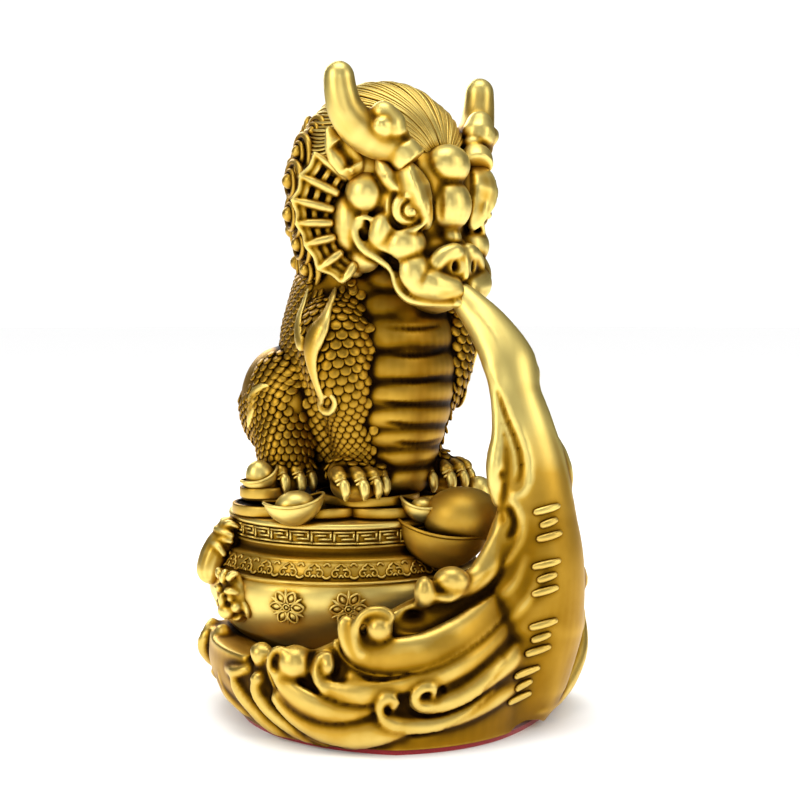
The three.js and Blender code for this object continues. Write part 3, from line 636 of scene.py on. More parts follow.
@dataclass(frozen=True)
class PatinatedBrass:
    """Cast brass, stained dark all over and rubbed back so that only the high places shine."""

    name: str
    hollow: str = "#1a0e04"
    low: str = "#4c3205"
    middle: str = "#946b11"
    high: str = "#c69d3a"
    crown: str = "#f2dc82"
    bias: float = 0.0
    # reach of the ambient occlusion, whose darkening is partly stain and partly painted shade
    reach_mm: float = 2.4
    rough_low: float = 0.6
    rough_high: float = 0.42
    grain_mm: float = 0.35
    grain: float = 0.1
    contrast: float = 0.38
    # painted light: how much lighter, and glossier, it is made from low down to high up
    painted_light_up: float = 0.0
    dull_below_mm: float = 58.0
    bright_above_mm: float = 82.0
    cloud_mm: float = 9.0

    def make(self) -> Finish:
        """Builds the material: stain where the form is low, stain and painted shade where it is enclosed,
        polish where it is proud, painted light where it is high.

        Returns:
            The material.
        """
        book = NodeBook(bpy.data.materials.new(self.name))
        spot = book.add("ShaderNodeTexCoord").outputs["Object"]
        relief = book.add("ShaderNodeAttribute", attribute_name="relief").outputs["Fac"]
        open_air = book.add("ShaderNodeAmbientOcclusion", {"Distance": self.reach_mm * MM}, samples=8)
        cloud = book.add("ShaderNodeTexNoise", {"Vector": spot, "Scale": 1 / (self.cloud_mm * MM),
            "Detail": 3.0})
        # darker where the form is enclosed: partly stain kept in the hollows, partly painted shade from
        # ambient occlusion
        shade = book.add("ShaderNodeMapRange", {"Value": open_air.outputs["AO"], "From Min": 0.35,
            "From Max": 1.0, "To Min": -0.55, "To Max": 0.0}, clamp=True)
        proud = book.add("ShaderNodeMath", {0: relief, 1: self.contrast, 2: 0.6 + self.bias},
            operation="MULTIPLY_ADD")
        patina_and_painted_shade = book.add("ShaderNodeMath", {0: proud.outputs[0], 1: shade.outputs[0]}, operation="ADD")
        # the cloth never rubs quite evenly
        mottle = book.add("ShaderNodeMath", {0: cloud.outputs["Fac"], 1: 0.16, 2: -0.08},
            operation="MULTIPLY_ADD")
        # painted light: the higher it stands, the lighter and glossier it is made, and the darker low down
        height = book.add("ShaderNodeSeparateXYZ", {0: spot})
        rise = book.add("ShaderNodeMapRange", {"Value": height.outputs["Z"],
            "From Min": self.dull_below_mm * MM, "From Max": self.bright_above_mm * MM, "To Min": 0.0,
            "To Max": self.painted_light_up}, clamp=True)
        mixed = book.add("ShaderNodeMath", {0: patina_and_painted_shade.outputs[0], 1: mottle.outputs[0]}, operation="ADD")
        wear_and_painted_light = book.add("ShaderNodeMath", {0: mixed.outputs[0], 1: rise.outputs[0]}, operation="ADD",
            use_clamp=True).outputs[0]
        stops = [(0.0, self.hollow), (0.26, self.low), (0.52, self.middle), (0.76, self.high),
            (1.0, self.crown)]
        colour = book.add("ShaderNodeValToRGB", {"Fac": wear_and_painted_light}, stops)
        polish = book.add("ShaderNodeMapRange", {"Value": wear_and_painted_light, "From Min": 0.1, "From Max": 0.8,
            "To Min": self.rough_low, "To Max": self.rough_high}, clamp=True)
        # the mould's sand, drawn coarser than it is so that it shows
        sand = book.add("ShaderNodeTexNoise", {"Vector": spot, "Scale": 1 / (self.grain_mm * MM),
            "Detail": 2.0, "Roughness": 0.6})
        bite = book.add("ShaderNodeMapRange", {"Value": wear_and_painted_light, "From Min": 0.25, "From Max": 0.8,
            "To Min": self.grain, "To Max": self.grain * 0.15}, clamp=True)
        bump = book.add("ShaderNodeBump", {"Height": sand.outputs["Fac"], "Strength": bite.outputs[0],
            "Distance": 0.2 * MM})
        return book.finish(book.add("ShaderNodeBsdfPrincipled", {"Base Color": colour.outputs["Color"],
            "Metallic": 1.0, "Roughness": polish.outputs[0], "Normal": bump.outputs[0]}))


@dataclass(frozen=True)
class PressedFelt:
    """Needled wool felt, pressed flat and cut, so it has a matt face with short loose fibres."""

    name: str = "pressed-red-wool-felt"
    shade: str = "#6d0c14"
    fibre: str = "#a3242b"
    fibre_mm: float = 0.25

    def make(self) -> Finish:
        """Builds the material: mottled red with a fibre bump and a soft sheen.

        Returns:
            The material.
        """
        book = NodeBook(bpy.data.materials.new(self.name))
        spot = book.add("ShaderNodeTexCoord").outputs["Object"]
        # loose fibres on the face: no gloss, short pale hairs over a deeper red
        fibres = book.add("ShaderNodeTexNoise", {"Vector": spot, "Scale": 1 / (self.fibre_mm * MM),
            "Detail": 4.0})
        colour = book.add("ShaderNodeValToRGB", {"Fac": fibres.outputs["Fac"]}, [(0.3, self.shade),
            (0.7, self.fibre)])
        bump = book.add("ShaderNodeBump", {"Height": fibres.outputs["Fac"], "Strength": 0.6,
            "Distance": 0.2 * MM})
        return book.finish(book.add("ShaderNodeBsdfPrincipled", {"Base Color": colour.outputs["Color"],
            "Roughness": 0.95, "Sheen Weight": 0.4, "Normal": bump.outputs[0]}))


class Slot(Enum):
    """The record's material slots."""

    BRASS = "brass"
    FELT = "felt"


def present(mesh: bpy.types.Mesh, finish: Finish, slot: Slot = Slot.BRASS) -> Shape:
    """Turns a mesh in millimetres into a finished piece of the figurine.

    Args:
        mesh: The mesh, named as the piece is.
        finish: Its material.
        slot: Its kind of material. Brass has its high and low places marked for the patina.

    Returns:
        The piece.
    """
    if slot is Slot.BRASS:
        Skin(mesh).mark_relief()
    mesh.transform(Matrix.Scale(MM, 4))
    mesh.materials.append(finish)
    mesh.shade_smooth()
    piece = bpy.data.objects.new(mesh.name, mesh)
    bpy.context.scene.collection.objects.link(piece)
    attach(piece, "root")
    LOG.info("%s: %d faces", piece.name, len(mesh.polygons))
    return piece


# What the sub-assemblies share


class SubAssembly:
    """A group of pieces that are modelled in clay, one after another."""

    clay: Clay
    surface: BVHTree

    def piece(self, name: str, finish: Finish, *steps: Callable[[], None],
              carve: Callable[[Skin], None] | None = None, rounds: int = 1, factor: float = 0.5) -> Shape:
        """Models one piece.

        Args:
            name: Its name.
            finish: Its material.
            steps: What adds its forms to the clay, in order.
            carve: What cuts and raises its skin, or None. The next piece can lie on that surface.
            rounds: How many times the carved skin is eased.
            factor: How far each easing goes.

        Returns:
            The piece.
        """
        self.clay = Clay()
        for step in steps:
            step()
        mesh = self.clay.mesh(name)
        if carve:
            skin = Skin(mesh)
            carve(skin)
            skin.ease(rounds, factor)
            skin.store()
            faces = [tuple(face.vertices) for face in mesh.polygons]
            self.surface = BVHTree.FromPolygons([vert.co for vert in mesh.vertices], faces)
        return present(mesh, finish)


class BeastPart(SubAssembly):
    """A part of the beast. Its marks are given forwards, left and up, and mirrored for the right side."""

    frame: Stance

    def run(self, side: int, *marks: Point) -> list[Vector]:
        """Returns marks on one side in the object's own frame."""
        return [self.frame(f, l * side, z) for f, l, z in marks]

    def limb(self, side: int, marks: Iterable[Point], radii: Sequence[float], **style: object) -> None:
        """Adds a limb through marks on one side, with the style that Clay.limb takes."""
        self.clay.limb(self.run(side, *marks), radii, **style)

    def ball(self, side: int, place: Point, radii: Point | float, **style: object) -> None:
        """Adds an ellipsoid in the part's own frame on one side, with the style that Clay.ball takes."""
        self.clay.ball(self.run(side, place)[0], radii, self.frame.basis, **style)


# The bank of water


@dataclass
class WaterBank(SubAssembly):
    """The bank of curling waves round the basin, and the column of water that falls into it."""

    finish: Finish
    x: float = -1.0
    y: float = 3.0
    half: float = 53.6
    front: float = 52.0
    back: float = 45.0
    floor: float = 20.0
    foot: float = 1.5
    jet_yaw: float = 22.0

    BACK_ROLLS = (-13, 18, 52, 88, 124, 160)
    SHEETS = (
        # main scroll: its broad trunk and the lip that turns up at the left
        ([(35, 46, -3.6), (31, 40.6, -2), (25, 35.4, -0.6), (17, 30.2, 0), (8, 26.9, 0.5), (0.6, 26, 0.8),
            (-6, 26, 1), (-11.2, 28.4, 1.8), (-13.4, 32.6, 2), (-13.2, 36, 1.4)],
            [2.4, 3.8, 4, 4.4, 4.8, 5.2, 5, 4.6, 3.8, 2], 0.55),
        # second sheet, under the main scroll
        ([(38, 38, -3.4), (30, 32, -1.2), (20, 25.6, 0), (10, 20.8, 0.3), (0, 18.6, 0.5), (-8, 18.4, 0.7),
            (-13.6, 21.4, 0.7)], [2.4, 3.6, 3.8, 3.4, 2.8, 2, 1.2], 0.5),
        # the sheet of the right hook, and that of the left one
        ([(39, 30, -3), (31, 24.4, -1), (23, 19.4, 0), (15, 15.2, 0.4), (8.6, 13.8, 0.8), (4.6, 14.8, 1)],
            [2.4, 3.4, 3.6, 3, 2.2, 1.4], 0.5),
        ([(37, 20, -3), (27, 14.6, -0.8), (18, 10.6, 0.2), (9, 8.2, 0.6), (1, 8.6, 1), (-3.4, 11, 1.2)],
            [2.2, 3, 3, 2.4, 1.8, 1.4], 0.5),
        # the sheet of the second roll
        ([(0, 18, 0.2), (-7, 16.6, 0.6), (-13, 16.8, 1), (-18.6, 18, 1.2), (-21, 21.4, 1.3),
            (-20.4, 24.4, 1.2)], [1.6, 2.3, 2.6, 2.2, 1.5, 1.1], 0.6),
        # the sheet of the left roll
        ([(-6, 13.6, 0.2), (-12, 11.8, 0.8), (-19, 12.2, 1.4), (-25.4, 14.4, 1.8), (-30, 18, 2),
            (-33, 22.4, 1.8)], [1.8, 2.6, 3.1, 3.1, 2.6, 1.5], 0.6),
        # the low sheet below it, and the ridges that sweep round to the left
        ([(4, 8.6, 0), (-5, 7, 0.4), (-14, 6, 0.9), (-22, 7.2, 1.2), (-28.4, 10.6, 1.2), (-32.6, 15, 1)],
            [2.4, 3.4, 4, 3.8, 3, 1.8], 0.6),
        ([(-18, 1.6, 0.2), (-26, 4, 0.6), (-33, 8, 1), (-37, 12.4, 1.2), (-38.2, 16.4, 1.2)],
            [1.2, 1.9, 2.1, 1.9, 1.6], 0.7),
        ([(-26, 1.6, 0.2), (-34, 4, 0.6), (-39.4, 8.6, 1), (-43, 12.6, 1), (-44.4, 16, 0.8)],
            [1.2, 2, 2.2, 2, 1.4], 0.7),
    )
    CURLS = (
        # ring of the main scroll, hooks, the mouth of the left roll, the knob beyond it
        ([(-8.6, 25.4, 2.6), (-10.8, 28.4, 3), (-11.4, 32, 3.4), (-10, 35.8, 3.6), (-6.8, 37.6, 3.8),
            (-3.4, 37, 3.8), (-1.4, 34.6, 3.4)], [1.4, 1.5, 1.4, 1.3, 1.3, 1.4, 1.5]),
        ([(8.4, 15.8, 1.2), (8.6, 17.6, 1.6), (7, 18.3, 1.8), (4.9, 17.4, 1.8), (3.9, 15.4, 1.6),
            (5, 13.6, 1.4), (8.4, 13, 1.2)], [0.9, 1, 1, 1, 1.1, 1.2, 1.2]),
        ([(-1.4, 13.4, 1.4), (-0.7, 14.9, 1.8), (-2.4, 15.9, 2), (-4.3, 14.9, 2), (-4.9, 12.4, 1.8),
            (-3.4, 9.8, 1.6), (0, 8.4, 1.4)], [0.9, 0.9, 1, 1, 1.1, 1.3, 1.3]),
        ([(-17, 25.4, 1.4), (-19, 25.6, 1.8), (-21, 24.2, 2), (-21.6, 21.6, 2), (-20.6, 18.8, 1.8),
            (-18, 16.6, 1.6)], [0.8, 0.9, 1, 1.1, 1.2, 1.2]),
    )
    BALLS = (
        ((-5.2, 32.8, 3.2), 3.5),
        ((-27, 22.8, 0.4), 4.6),
        ((-24.4, 22.2, -0.8), 4),
        ((-1.6, 13.6, 1.2), 1.2),
        ((-37.3, 17.1, 0.8), 1.9),
        ((-36.4, 23, -1.4), 3.3),
    )
    CRESTS = (
        # the scroll's outer lip and the edge that runs on under its trunk, then the trunk's upper edge
        ([(-12.4, 37.6), (-15, 36.8), (-16.7, 34.6), (-17.4, 31.3), (-16.6, 28), (-14.4, 24.7),
            (-10.2, 21.8), (-5, 20.9), (1.3, 21.1), (8.2, 22.6), (15.3, 25.7), (22.3, 29.9), (28, 34.4)],
            1.5, 2.8, 0.8),
        ([(29, 42), (24.3, 37.9), (20.5, 35.6), (16.8, 33.7), (12.8, 32.2), (8.3, 31), (4.5, 30.6),
            (0.6, 30.9), (-1.5, 32.2)], 1.2, 3, 0.9),
        # the step of the ring within the lip
        ([(-3.2, 34.2), (-3.4, 36.8), (-6.4, 38.2), (-9.6, 37.4), (-11.6, 34.9), (-12.2, 31.7),
            (-11.6, 28.6), (-9.5, 25.8), (-5, 24.2)], 0.8, 2, 0.8),
        # lip of the shell
        ([(24.4, 47), (20.4, 43.4), (16.9, 41.2), (13.6, 40.2), (10.3, 40.3), (8, 39.2), (5.4, 38.4)], 0.9,
            0.9, 3),
        # terraces under the trunk, down to the two hooks
        ([(-14, 23.2), (-12.1, 21), (-9.8, 19.6), (-7, 18.9), (-3.2, 18.8), (0.6, 19.3), (5.1, 20.4),
            (10, 22)], 0.8, 1.6, 0.7),
        ([(1.3, 19), (8.2, 20.6), (12.7, 22.1), (16.6, 23.9), (20.9, 25.9), (24.3, 28.2), (28.9, 32)], 0.9,
            1.8, 1.5),
        ([(9, 17.2), (8.2, 18.9), (5.8, 18.8), (3.6, 17.4), (2.7, 15.4), (3.6, 13.2), (6.4, 12),
            (9.6, 11.9), (14.3, 13), (18.6, 15.6), (22.6, 18.8), (27, 22.8)], 1.3, 2.8, 0.8),
        ([(-0.4, 14.8), (-1.6, 16.6), (-4, 16.4), (-5.6, 14.2), (-5.4, 11.3), (-3.8, 9), (-0.6, 7.4),
            (3.2, 6.9), (8.3, 7.3), (14, 8.9), (19.2, 11.6), (25, 16)], 1.3, 2.6, 0.8),
        # the second roll: its ring, and the edge below its sheet
        ([(-16.4, 25.9), (-19.2, 26.2), (-21.6, 24.6), (-22.4, 22.4), (-21.8, 19), (-20.1, 16.6),
            (-17, 14.9), (-13, 14.3), (-9, 14.6), (-6, 15.6)], 1.3, 2.6, 0.8),
        ([(-2, 17.6), (-7, 17.9), (-11.1, 18.7), (-14.4, 20.8)], 0.7, 1.8, 0.8),
        # the left roll: the edge from its mouth round under its sheet
        ([(-30, 26.8), (-32.7, 26.2), (-34.2, 23.6), (-34, 20.4), (-32.8, 16.9), (-30.2, 13.9), (-26, 11.2),
            (-21.6, 9.7), (-17.2, 9.4), (-13.4, 9.9), (-9.4, 11.4)], 1.5, 3, 0.8),
        # the edge below the low sheet, and those of the ridges to the left
        ([(-33.4, 15.6), (-31.8, 12), (-28.6, 8), (-24.6, 4.6), (-20.6, 2.6), (-16, 1.9), (-11, 2.2),
            (-6, 3.8), (0, 6)], 1.2, 2.8, 0.8),
        ([(-39, 17.4), (-38.5, 14), (-37, 11.2), (-34, 8.4), (-30, 5.4), (-26, 3), (-22, 1.8)], 1, 1.6,
            0.8),
        ([(-44.8, 15.7), (-44, 13.6), (-42, 10.6), (-39.4, 7.2), (-36, 4.4), (-31, 2.4)], 1, 1.8, 0.8),
        ([(-49.6, 14.6), (-47.6, 9.6), (-44, 6), (-39.6, 3)], 0.8, 1.6, 0.8),
    )
    HOLLOWS = (
        # inside the rings
        ([(-3.6, 35.8), (-5.8, 36.5), (-8, 35.6), (-9.3, 33.4), (-9, 30.6), (-7.2, 28.9), (-4.4, 28.4),
            (-1.8, 29.6)], -1.6, 0.75),
        ([(-12.6, 36.6), (-13.6, 34), (-13.6, 31), (-12.6, 28), (-10, 25.4)], -1.2, 1.0),
        ([(7.6, 17.2), (5.8, 16.6), (5.4, 15), (7.4, 14)], -0.9, 0.7),
        ([(-2.2, 14.9), (-3.6, 14), (-3.6, 12), (-1.6, 10.6)], -1, 0.7),
        ([(-19, 24.4), (-20.2, 22.6), (-19.9, 20.2), (-18.4, 18.8)], -1.2, 0.8),
        ([(-16.6, 24), (-16.2, 21.6), (-17, 19.6)], -1, 0.9),
        ([(-32, 25.4), (-31.3, 23.4), (-31, 21.2)], -2.4, 1.3),
        # the dark folds below each edge
        ([(-13.8, 22.4), (-10, 20.3), (-4, 19.6), (3, 20.2), (10, 21.9), (18, 25.9), (24, 30.1)], -0.8,
            0.9),
        ([(-22.6, 19), (-20.8, 15.6), (-16, 13.2), (-11, 13.2), (-6.6, 14.6)], -1.3, 0.8),
        ([(-34.6, 17), (-32, 13), (-27, 10), (-21, 8.3), (-15, 8.2), (-9.6, 10)], -1.2, 0.8),
        ([(-5.8, 9.4), (-3, 6.8), (2, 5.8), (9, 6.2), (16, 8.4), (22, 12)], -1.1, 0.8),
        ([(1.8, 13.4), (5, 11.2), (10, 10.8), (16, 12.8), (22, 17)], -1.1, 0.8),
        ([(11.4, 17.8), (10.4, 16.8)], -1.4, 1.1),
        ([(-36, 9.2), (-31, 5.4), (-26, 2.6)], -0.7, 0.7),
        ([(-41.6, 8.6), (-37, 4.6), (-32, 2)], -0.7, 0.7),
        ([(29, 36.8), (25.5, 33.4), (20, 30), (14, 27.4)], -0.5, 1.0),
        ([(32, 30), (27.6, 24.8), (22, 20.6)], -0.6, 1.2),
    )
    RIGHT_EDGE = (
        ([(101, -3), (96, -1), (91, -2)], [1.4, 2.1, 1.1]),
        ([(90, -1.6), (86, -1.8), (80, -1.6)], [0.6, 0.8, 0.5]),
        ([(84, -2.6), (77, -0.6), (72, 0), (67, -0.2), (62, -1.6), (59, -3)],
            [0.9, 1.7, 2.1, 2.2, 1.5, 0.8]),
        ([(60, -2.6), (55, -1.4), (50, -1), (46, -2.4)], [0.8, 1.6, 1.7, 0.8]),
        ([(46, -2), (43, -0.8), (39, -0.2), (35, -2)], [0.8, 1.8, 2, 1]),
        ([(35, -2), (30, -0.8), (24, -0.4), (18, -1.6)], [1, 2.1, 2.3, 1.2]),
    )
    LEFT_EDGE = (
        ([(97, -1.6), (90, -0.8), (84, -0.8), (79, -0.4), (74, 0.6), (69, 1), (65, 0.8), (61, 0.4)],
            [0.8, 1.3, 1.6, 2, 2.6, 2.9, 2.3, 1]),
        ([(61, -1), (56, -0.6), (51, 0), (47, 1.2), (43, 2.4), (41, 4)], [1, 2.2, 2.6, 2.4, 2, 1.2]),
    )

    def crest(self, angle: float) -> float:
        """Returns how high the bank stands at an angle round it.

        Args:
            angle: The angle, in radians.

        Returns:
            The height.
        """
        t = (0.5 + 0.5 * math.cos(angle + math.radians(38)) - 0.45) / 0.55
        t = min(max(t, 0.0), 1.0)
        return self.floor + 2 + 20 * t * t * (3 - 2 * t)

    def at(self, angle: float, z: float, lift: float = 0) -> Vector:
        """Finds a point on the bank's side.

        Args:
            angle: Its angle round the bank.
            z: Its height.
            lift: How far it stands proud.

        Returns:
            The point.
        """
        crest = self.crest(angle)
        depth = self.front if math.sin(angle) < 0 else self.back
        outline = 1 / math.hypot(math.cos(angle) / self.half, math.sin(angle) / depth)
        outline *= 1 - 0.06 * max(0, math.cos(angle + math.radians(30))) ** 8
        foot = 0.97 - 0.14 * max(0, -math.cos(angle)) - 0.11 * max(0, math.cos(angle))
        h = min(max(z / crest, 0.0), 1.0)
        bulge = foot + (1 - foot) * math.sin(math.pi / 2 * min(1, h / 0.8)) ** 1.3
        t = min(max((h - 0.45) / 0.55, 0.0), 1.0)
        lean = 0.18 * (crest - self.floor) / 22 * t * t * (3 - 2 * t)
        r = outline * (bulge - lean) + lift
        return Vector((self.x + math.cos(angle) * r, self.y + math.sin(angle) * r, z))

    def mark(self, x: float, z: float, lift: float = 0) -> Vector:
        """Finds a point on the display side.

        Args:
            x: The left-right place.
            z: The height.
            lift: How far it stands proud.

        Returns:
            The point.
        """
        angle = -math.pi / 2
        for _ in range(8):
            reach = (self.at(angle, z, lift) - Vector((self.x, self.y, z))).length
            angle = -math.acos(min(max((x - self.x) / reach, -1.0), 1.0))
        return self.at(angle, z, lift)

    def line(self, marks: Iterable[Point]) -> list[Vector]:
        """Returns the points that left-right places, heights and lifts name."""
        return [self.mark(*mark) for mark in marks]

    def core(self) -> None:
        """Adds the plain bank: a lathe whose rings are drawn to the outline and the crest."""
        walls = [(1, h) for h in spread(0, 1, 13)]
        lathe = Clay()
        lathe.turned([(0, 0), *walls, (0.9, 1), (0.8, 0.98), (0.7, 0.96), (0, 0.96)], (0, 0, 0), 96)
        for vert in lathe.bm.verts:
            rho = math.hypot(vert.co.x, vert.co.y)
            angle = math.atan2(vert.co.y, vert.co.x)
            top = self.crest(angle) if rho > 0.75 else self.floor
            z = self.foot - 1 + vert.co.z * (top - self.foot + 1)
            edge = self.at(angle, z)
            vert.co = (blend(self.x, edge.x, rho), blend(self.y, edge.y, rho), z)
        self.clay.take(lathe.bm)

    def front_waves(self) -> None:
        """Adds the display side's waves: broad low sheets, and the curls at their ends."""
        for marks, radii, flat in self.SHEETS:
            points = self.line(marks)
            out = points[len(points) // 2] - Vector((self.x, self.y, points[len(points) // 2].z))
            self.clay.limb(points, radii, flat=flat, face=out.normalized(), sides=20)
        shell = [self.on_column(-0.86, 58, -2.4), self.on_column(-0.96, 52, -0.6),
            *self.line([(21.6, 44.6, -0.4), (17, 41.8, 0), (12, 40, 0.2), (6.6, 39.2, 0.4)])]
        self.clay.limb(shell, [2.4, 3.4, 3.6, 3.2, 2.6, 2], flat=0.7, face=(0, -1, 0), sides=20)
        for marks, radii in self.CURLS:
            self.clay.limb(self.line(marks), radii, sides=14, step=0.8)
        mouth = [(-31.2 + 2.3 * math.cos(t) + 0.3 * math.sin(t), 23.2 + 3.4 * math.sin(t), 3)
            for t in spread(0, 5.7, 13)]
        self.clay.limb(self.line(mouth), [1.0, 1.0], closed=True, step=0.8)
        for mark, r in self.BALLS:
            self.clay.ball(self.mark(*mark), r)
        # the half shell: its dome, the lobe beside it and the lip below them
        self.clay.ball(self.mark(13.2, 43.6, 0.4), (4.8, 3.9, 3.7), sides=28)
        self.clay.ball(self.mark(6.2, 41.2, 0.9), (2.8, 2.9, 4.2), sides=28)
        self.clay.limb(self.line([(8.2, 40.6, 1.8), (12.2, 39.6, 2.6), (16.8, 41.2, 1.8)]), [0.9, 1.5, 0.9])
        self.clay.limb(self.line([(-18.1, 25.2, 1), (-18.2, 22.9, 1.6), (-18.3, 20.6, 1)]), [1.2, 1.7, 1.2])
        # the block at the left end, the leaf below it and the fold between them
        self.clay.ball((-49.6, -4.4, 19.6), (3.2, 4.4, 5.2))
        self.clay.limb(self.line([(-46.6, 16.4, -0.6), (-43, 17.4, 0.6), (-39.4, 19.4, 0)]), [1, 1.9, 0.8])
        self.clay.limb(self.line([(-50, 13, -1.6), (-46.6, 8.4, -0.6), (-41, 4.4, 0)]), [2.4, 2.6, 1.4],
            flat=0.7)

    def back_waves(self) -> None:
        """Adds the hidden side's waves: plainer rolls, one after another round the back."""
        for start in self.BACK_ROLLS:
            top = self.crest(math.radians(start + 20))
            marks = [(-26, 5, 0), (-8, 7, 1), (8, top * 0.42, 1.6), (17, top * 0.68, 2),
                (19, top * 0.9, 1.4), (14, top * 1.02, 0.8), (9, top * 0.92, 0.8), (10, top * 0.8, 0.8)]
            points = [self.at(math.radians(start + turn), z, lift) for turn, z, lift in marks]
            self.clay.limb(points, [1.2, 2.8, 3.4, 3, 2.2, 1.6, 1.3, 1])
            self.clay.ball(self.at(math.radians(start + 12), top * 0.84, 0.2), 2)
            low = [(-14, 3.4, 0), (4, 4, 0.6), (18, 7.4, 1), (26, 11, 0.6)]
            self.clay.limb([self.at(math.radians(start + turn), z, lift) for turn, z, lift in low],
                [1, 1.8, 1.8, 0.8])

    @property
    def fall(self) -> list[tuple[Point, float, float]]:
        """The water's centre, half width and half depth, from the mouth down."""
        return [((15, -10, 118), 3.4, 3), ((19, -12.5, 113.8), 4.6, 3.4), ((24.4, -16, 107.2), 6.2, 4),
            ((29, -20, 99), 7.8, 4.4), ((30.8, -22, 90), 7, 4.6), ((33.2, -23, 81), 8.2, 5),
            ((35.2, -23.5, 70), 9.8, 6), ((36.4, -23.5, 57), 11.4, 7.5), ((36.4, -23, 44), 13.8, 9.5),
            ((33.4, -21.5, 30), 17.4, 12), ((29.2, -19, 14), 17, 12.6), ((24.6, -16, 2.5), 13.8, 11.6)]

    @property
    def across(self) -> Vector:
        """The direction across the column, to the right."""
        return Vector((math.cos(math.radians(self.jet_yaw)), math.sin(math.radians(self.jet_yaw)), 0))

    @property
    def face(self) -> Vector:
        """The direction that the column's broad side faces."""
        return Vector((self.across.y, -self.across.x, 0))

    def section(self, z: float) -> tuple[Vector, float, float]:
        """Measures the column at a height.

        Args:
            z: The height.

        Returns:
            The centre, the half width and the half depth.
        """
        heights = [spot[2] for spot, _, _ in self.fall][::-1]
        rows = [(*spot, wide, deep) for spot, wide, deep in self.fall][::-1]
        x, y, at, wide, deep = (float(np.interp(z, heights, [row[k] for row in rows])) for k in range(5))
        return Vector((x, y, at)), wide, deep

    def on_column(self, share: float, z: float, lift: float = 0) -> Vector:
        """Finds a point on the column's broad side.

        Args:
            share: Its share across, from -1 to 1.
            z: Its height.
            lift: How far it stands proud.

        Returns:
            The point.
        """
        centre, wide, deep = self.section(z)
        bow = math.sqrt(max(0, 1 - share**2))
        return centre + self.across * wide * share + self.face * (deep * bow + lift)

    def edge(self, side: int, z: float, out: float) -> Vector:
        """Finds a point off the column's edge: its side, height and how far out."""
        centre, wide, _ = self.section(z)
        return centre + self.across * side * (wide + out)

    def column(self) -> None:
        """Adds the jet, the knobs and splashes of its right edge, and the lobe of its left edge."""
        spots = [spot for spot, _, _ in self.fall]
        legs = np.cumsum([0] + [(Vector(b) - Vector(a)).length for a, b in zip(spots, spots[1:])])
        even = np.linspace(0, legs[-1], 30)
        wides = np.interp(even, legs, [wide for _, wide, _ in self.fall])
        shares = np.interp(even, legs, [deep / wide for _, wide, deep in self.fall])
        self.clay.limb(spots, list(wides), flat=list(shares), face=self.face, sides=40, step=1.5,
            blunt=True)
        for side, runs in ((1, self.RIGHT_EDGE), (-1, self.LEFT_EDGE)):
            for marks, radii in runs:
                self.clay.limb([self.edge(side, z, out) for z, out in marks], radii)
        self.clay.ball(self.edge(-1, 66.6, 0.4), 2.1)

    def carve(self, skin: Skin) -> None:
        """Draws the crests and hollows of the waves and the column.

        Args:
            skin: The settled water.
        """
        for marks, height, width, beside in self.CRESTS:
            skin.stroke(self.line(marks), height, width, beside, sharp=True, fade=0.12)
        for marks, height, width in self.HOLLOWS:
            skin.stroke(self.line(marks), height, width)
        skin.dent(self.mark(3.4, 34.6), (3.2, 5, 2), 3, way=(0, 1, 0.2))
        skin.dent(self.mark(-22.6, 23.2), (1.6, 4, 3.4), 2.4, way=(0, 1, 0))
        skin.dent(self.mark(-39.6, 21.4), (2, 3, 2.4), 2.2, way=(0.5, 1, 0))
        meeting = [self.on_column(-0.55, 52), self.on_column(-0.4, 44), *self.line([(34.6, 36), (35.4, 24),
            (35, 14), (33.6, 4)])]
        skin.melt(meeting, 6, 200)
        # the long slot with its raised rim, and the small oval hole beside it
        slot = [(-0.86, 93), (-0.84, 89), (-0.74, 84), (-0.6, 79), (-0.54, 74), (-0.6, 70), (-0.74, 67.4)]
        rim = [(-0.9, 96), (-0.74, 91), (-0.58, 85), (-0.42, 79), (-0.36, 73), (-0.46, 67.6), (-0.66, 65),
            (-0.9, 65.6)]
        skin.stroke([self.on_column(*mark) for mark in slot], -1.1, 0.8)
        skin.stroke([self.on_column(*mark) for mark in rim], 0.9, 2.4, 0.9, sharp=True)
        skin.dent(self.edge(-1, 70, 0.4) + self.face * 2.4, (0.8, 1.1, 1.3), 0.8)
        # the cup and the lip below the lobe, and a few soft lines that run down to the scrolls
        skin.stroke([self.on_column(*mark) for mark in ((-0.92, 62), (-0.8, 58), (-0.84, 53))], -1, 1.3)
        skin.stroke([self.on_column(*mark) for mark in ((-0.9, 64.4), (-0.68, 60.6), (-0.62, 55),
            (-0.78, 49), (-0.96, 45))], 0.8, 2, 1, sharp=True)
        flows = [((0.84, 98), (0.88, 86), (0.86, 74), (0.82, 62)), ((-0.3, 113), (-0.24, 106), (-0.4, 99)),
            ((-0.5, 50), (-0.66, 42), (-0.84, 37)), ((-0.2, 46), (-0.36, 38), (-0.6, 31))]
        for marks in flows:
            skin.stroke([self.on_column(*mark) for mark in marks], 0.4, 1.6, fade=0.4)
        for start in self.BACK_ROLLS:
            top = self.crest(math.radians(start + 20))
            roll = [(-26, 5), (-8, 7), (8, top * 0.42), (17, top * 0.68), (19, top * 0.9), (14, top * 1.0)]
            skin.stroke([self.at(math.radians(start + turn), z, 3) for turn, z in roll], 1, 1.5, sharp=True)

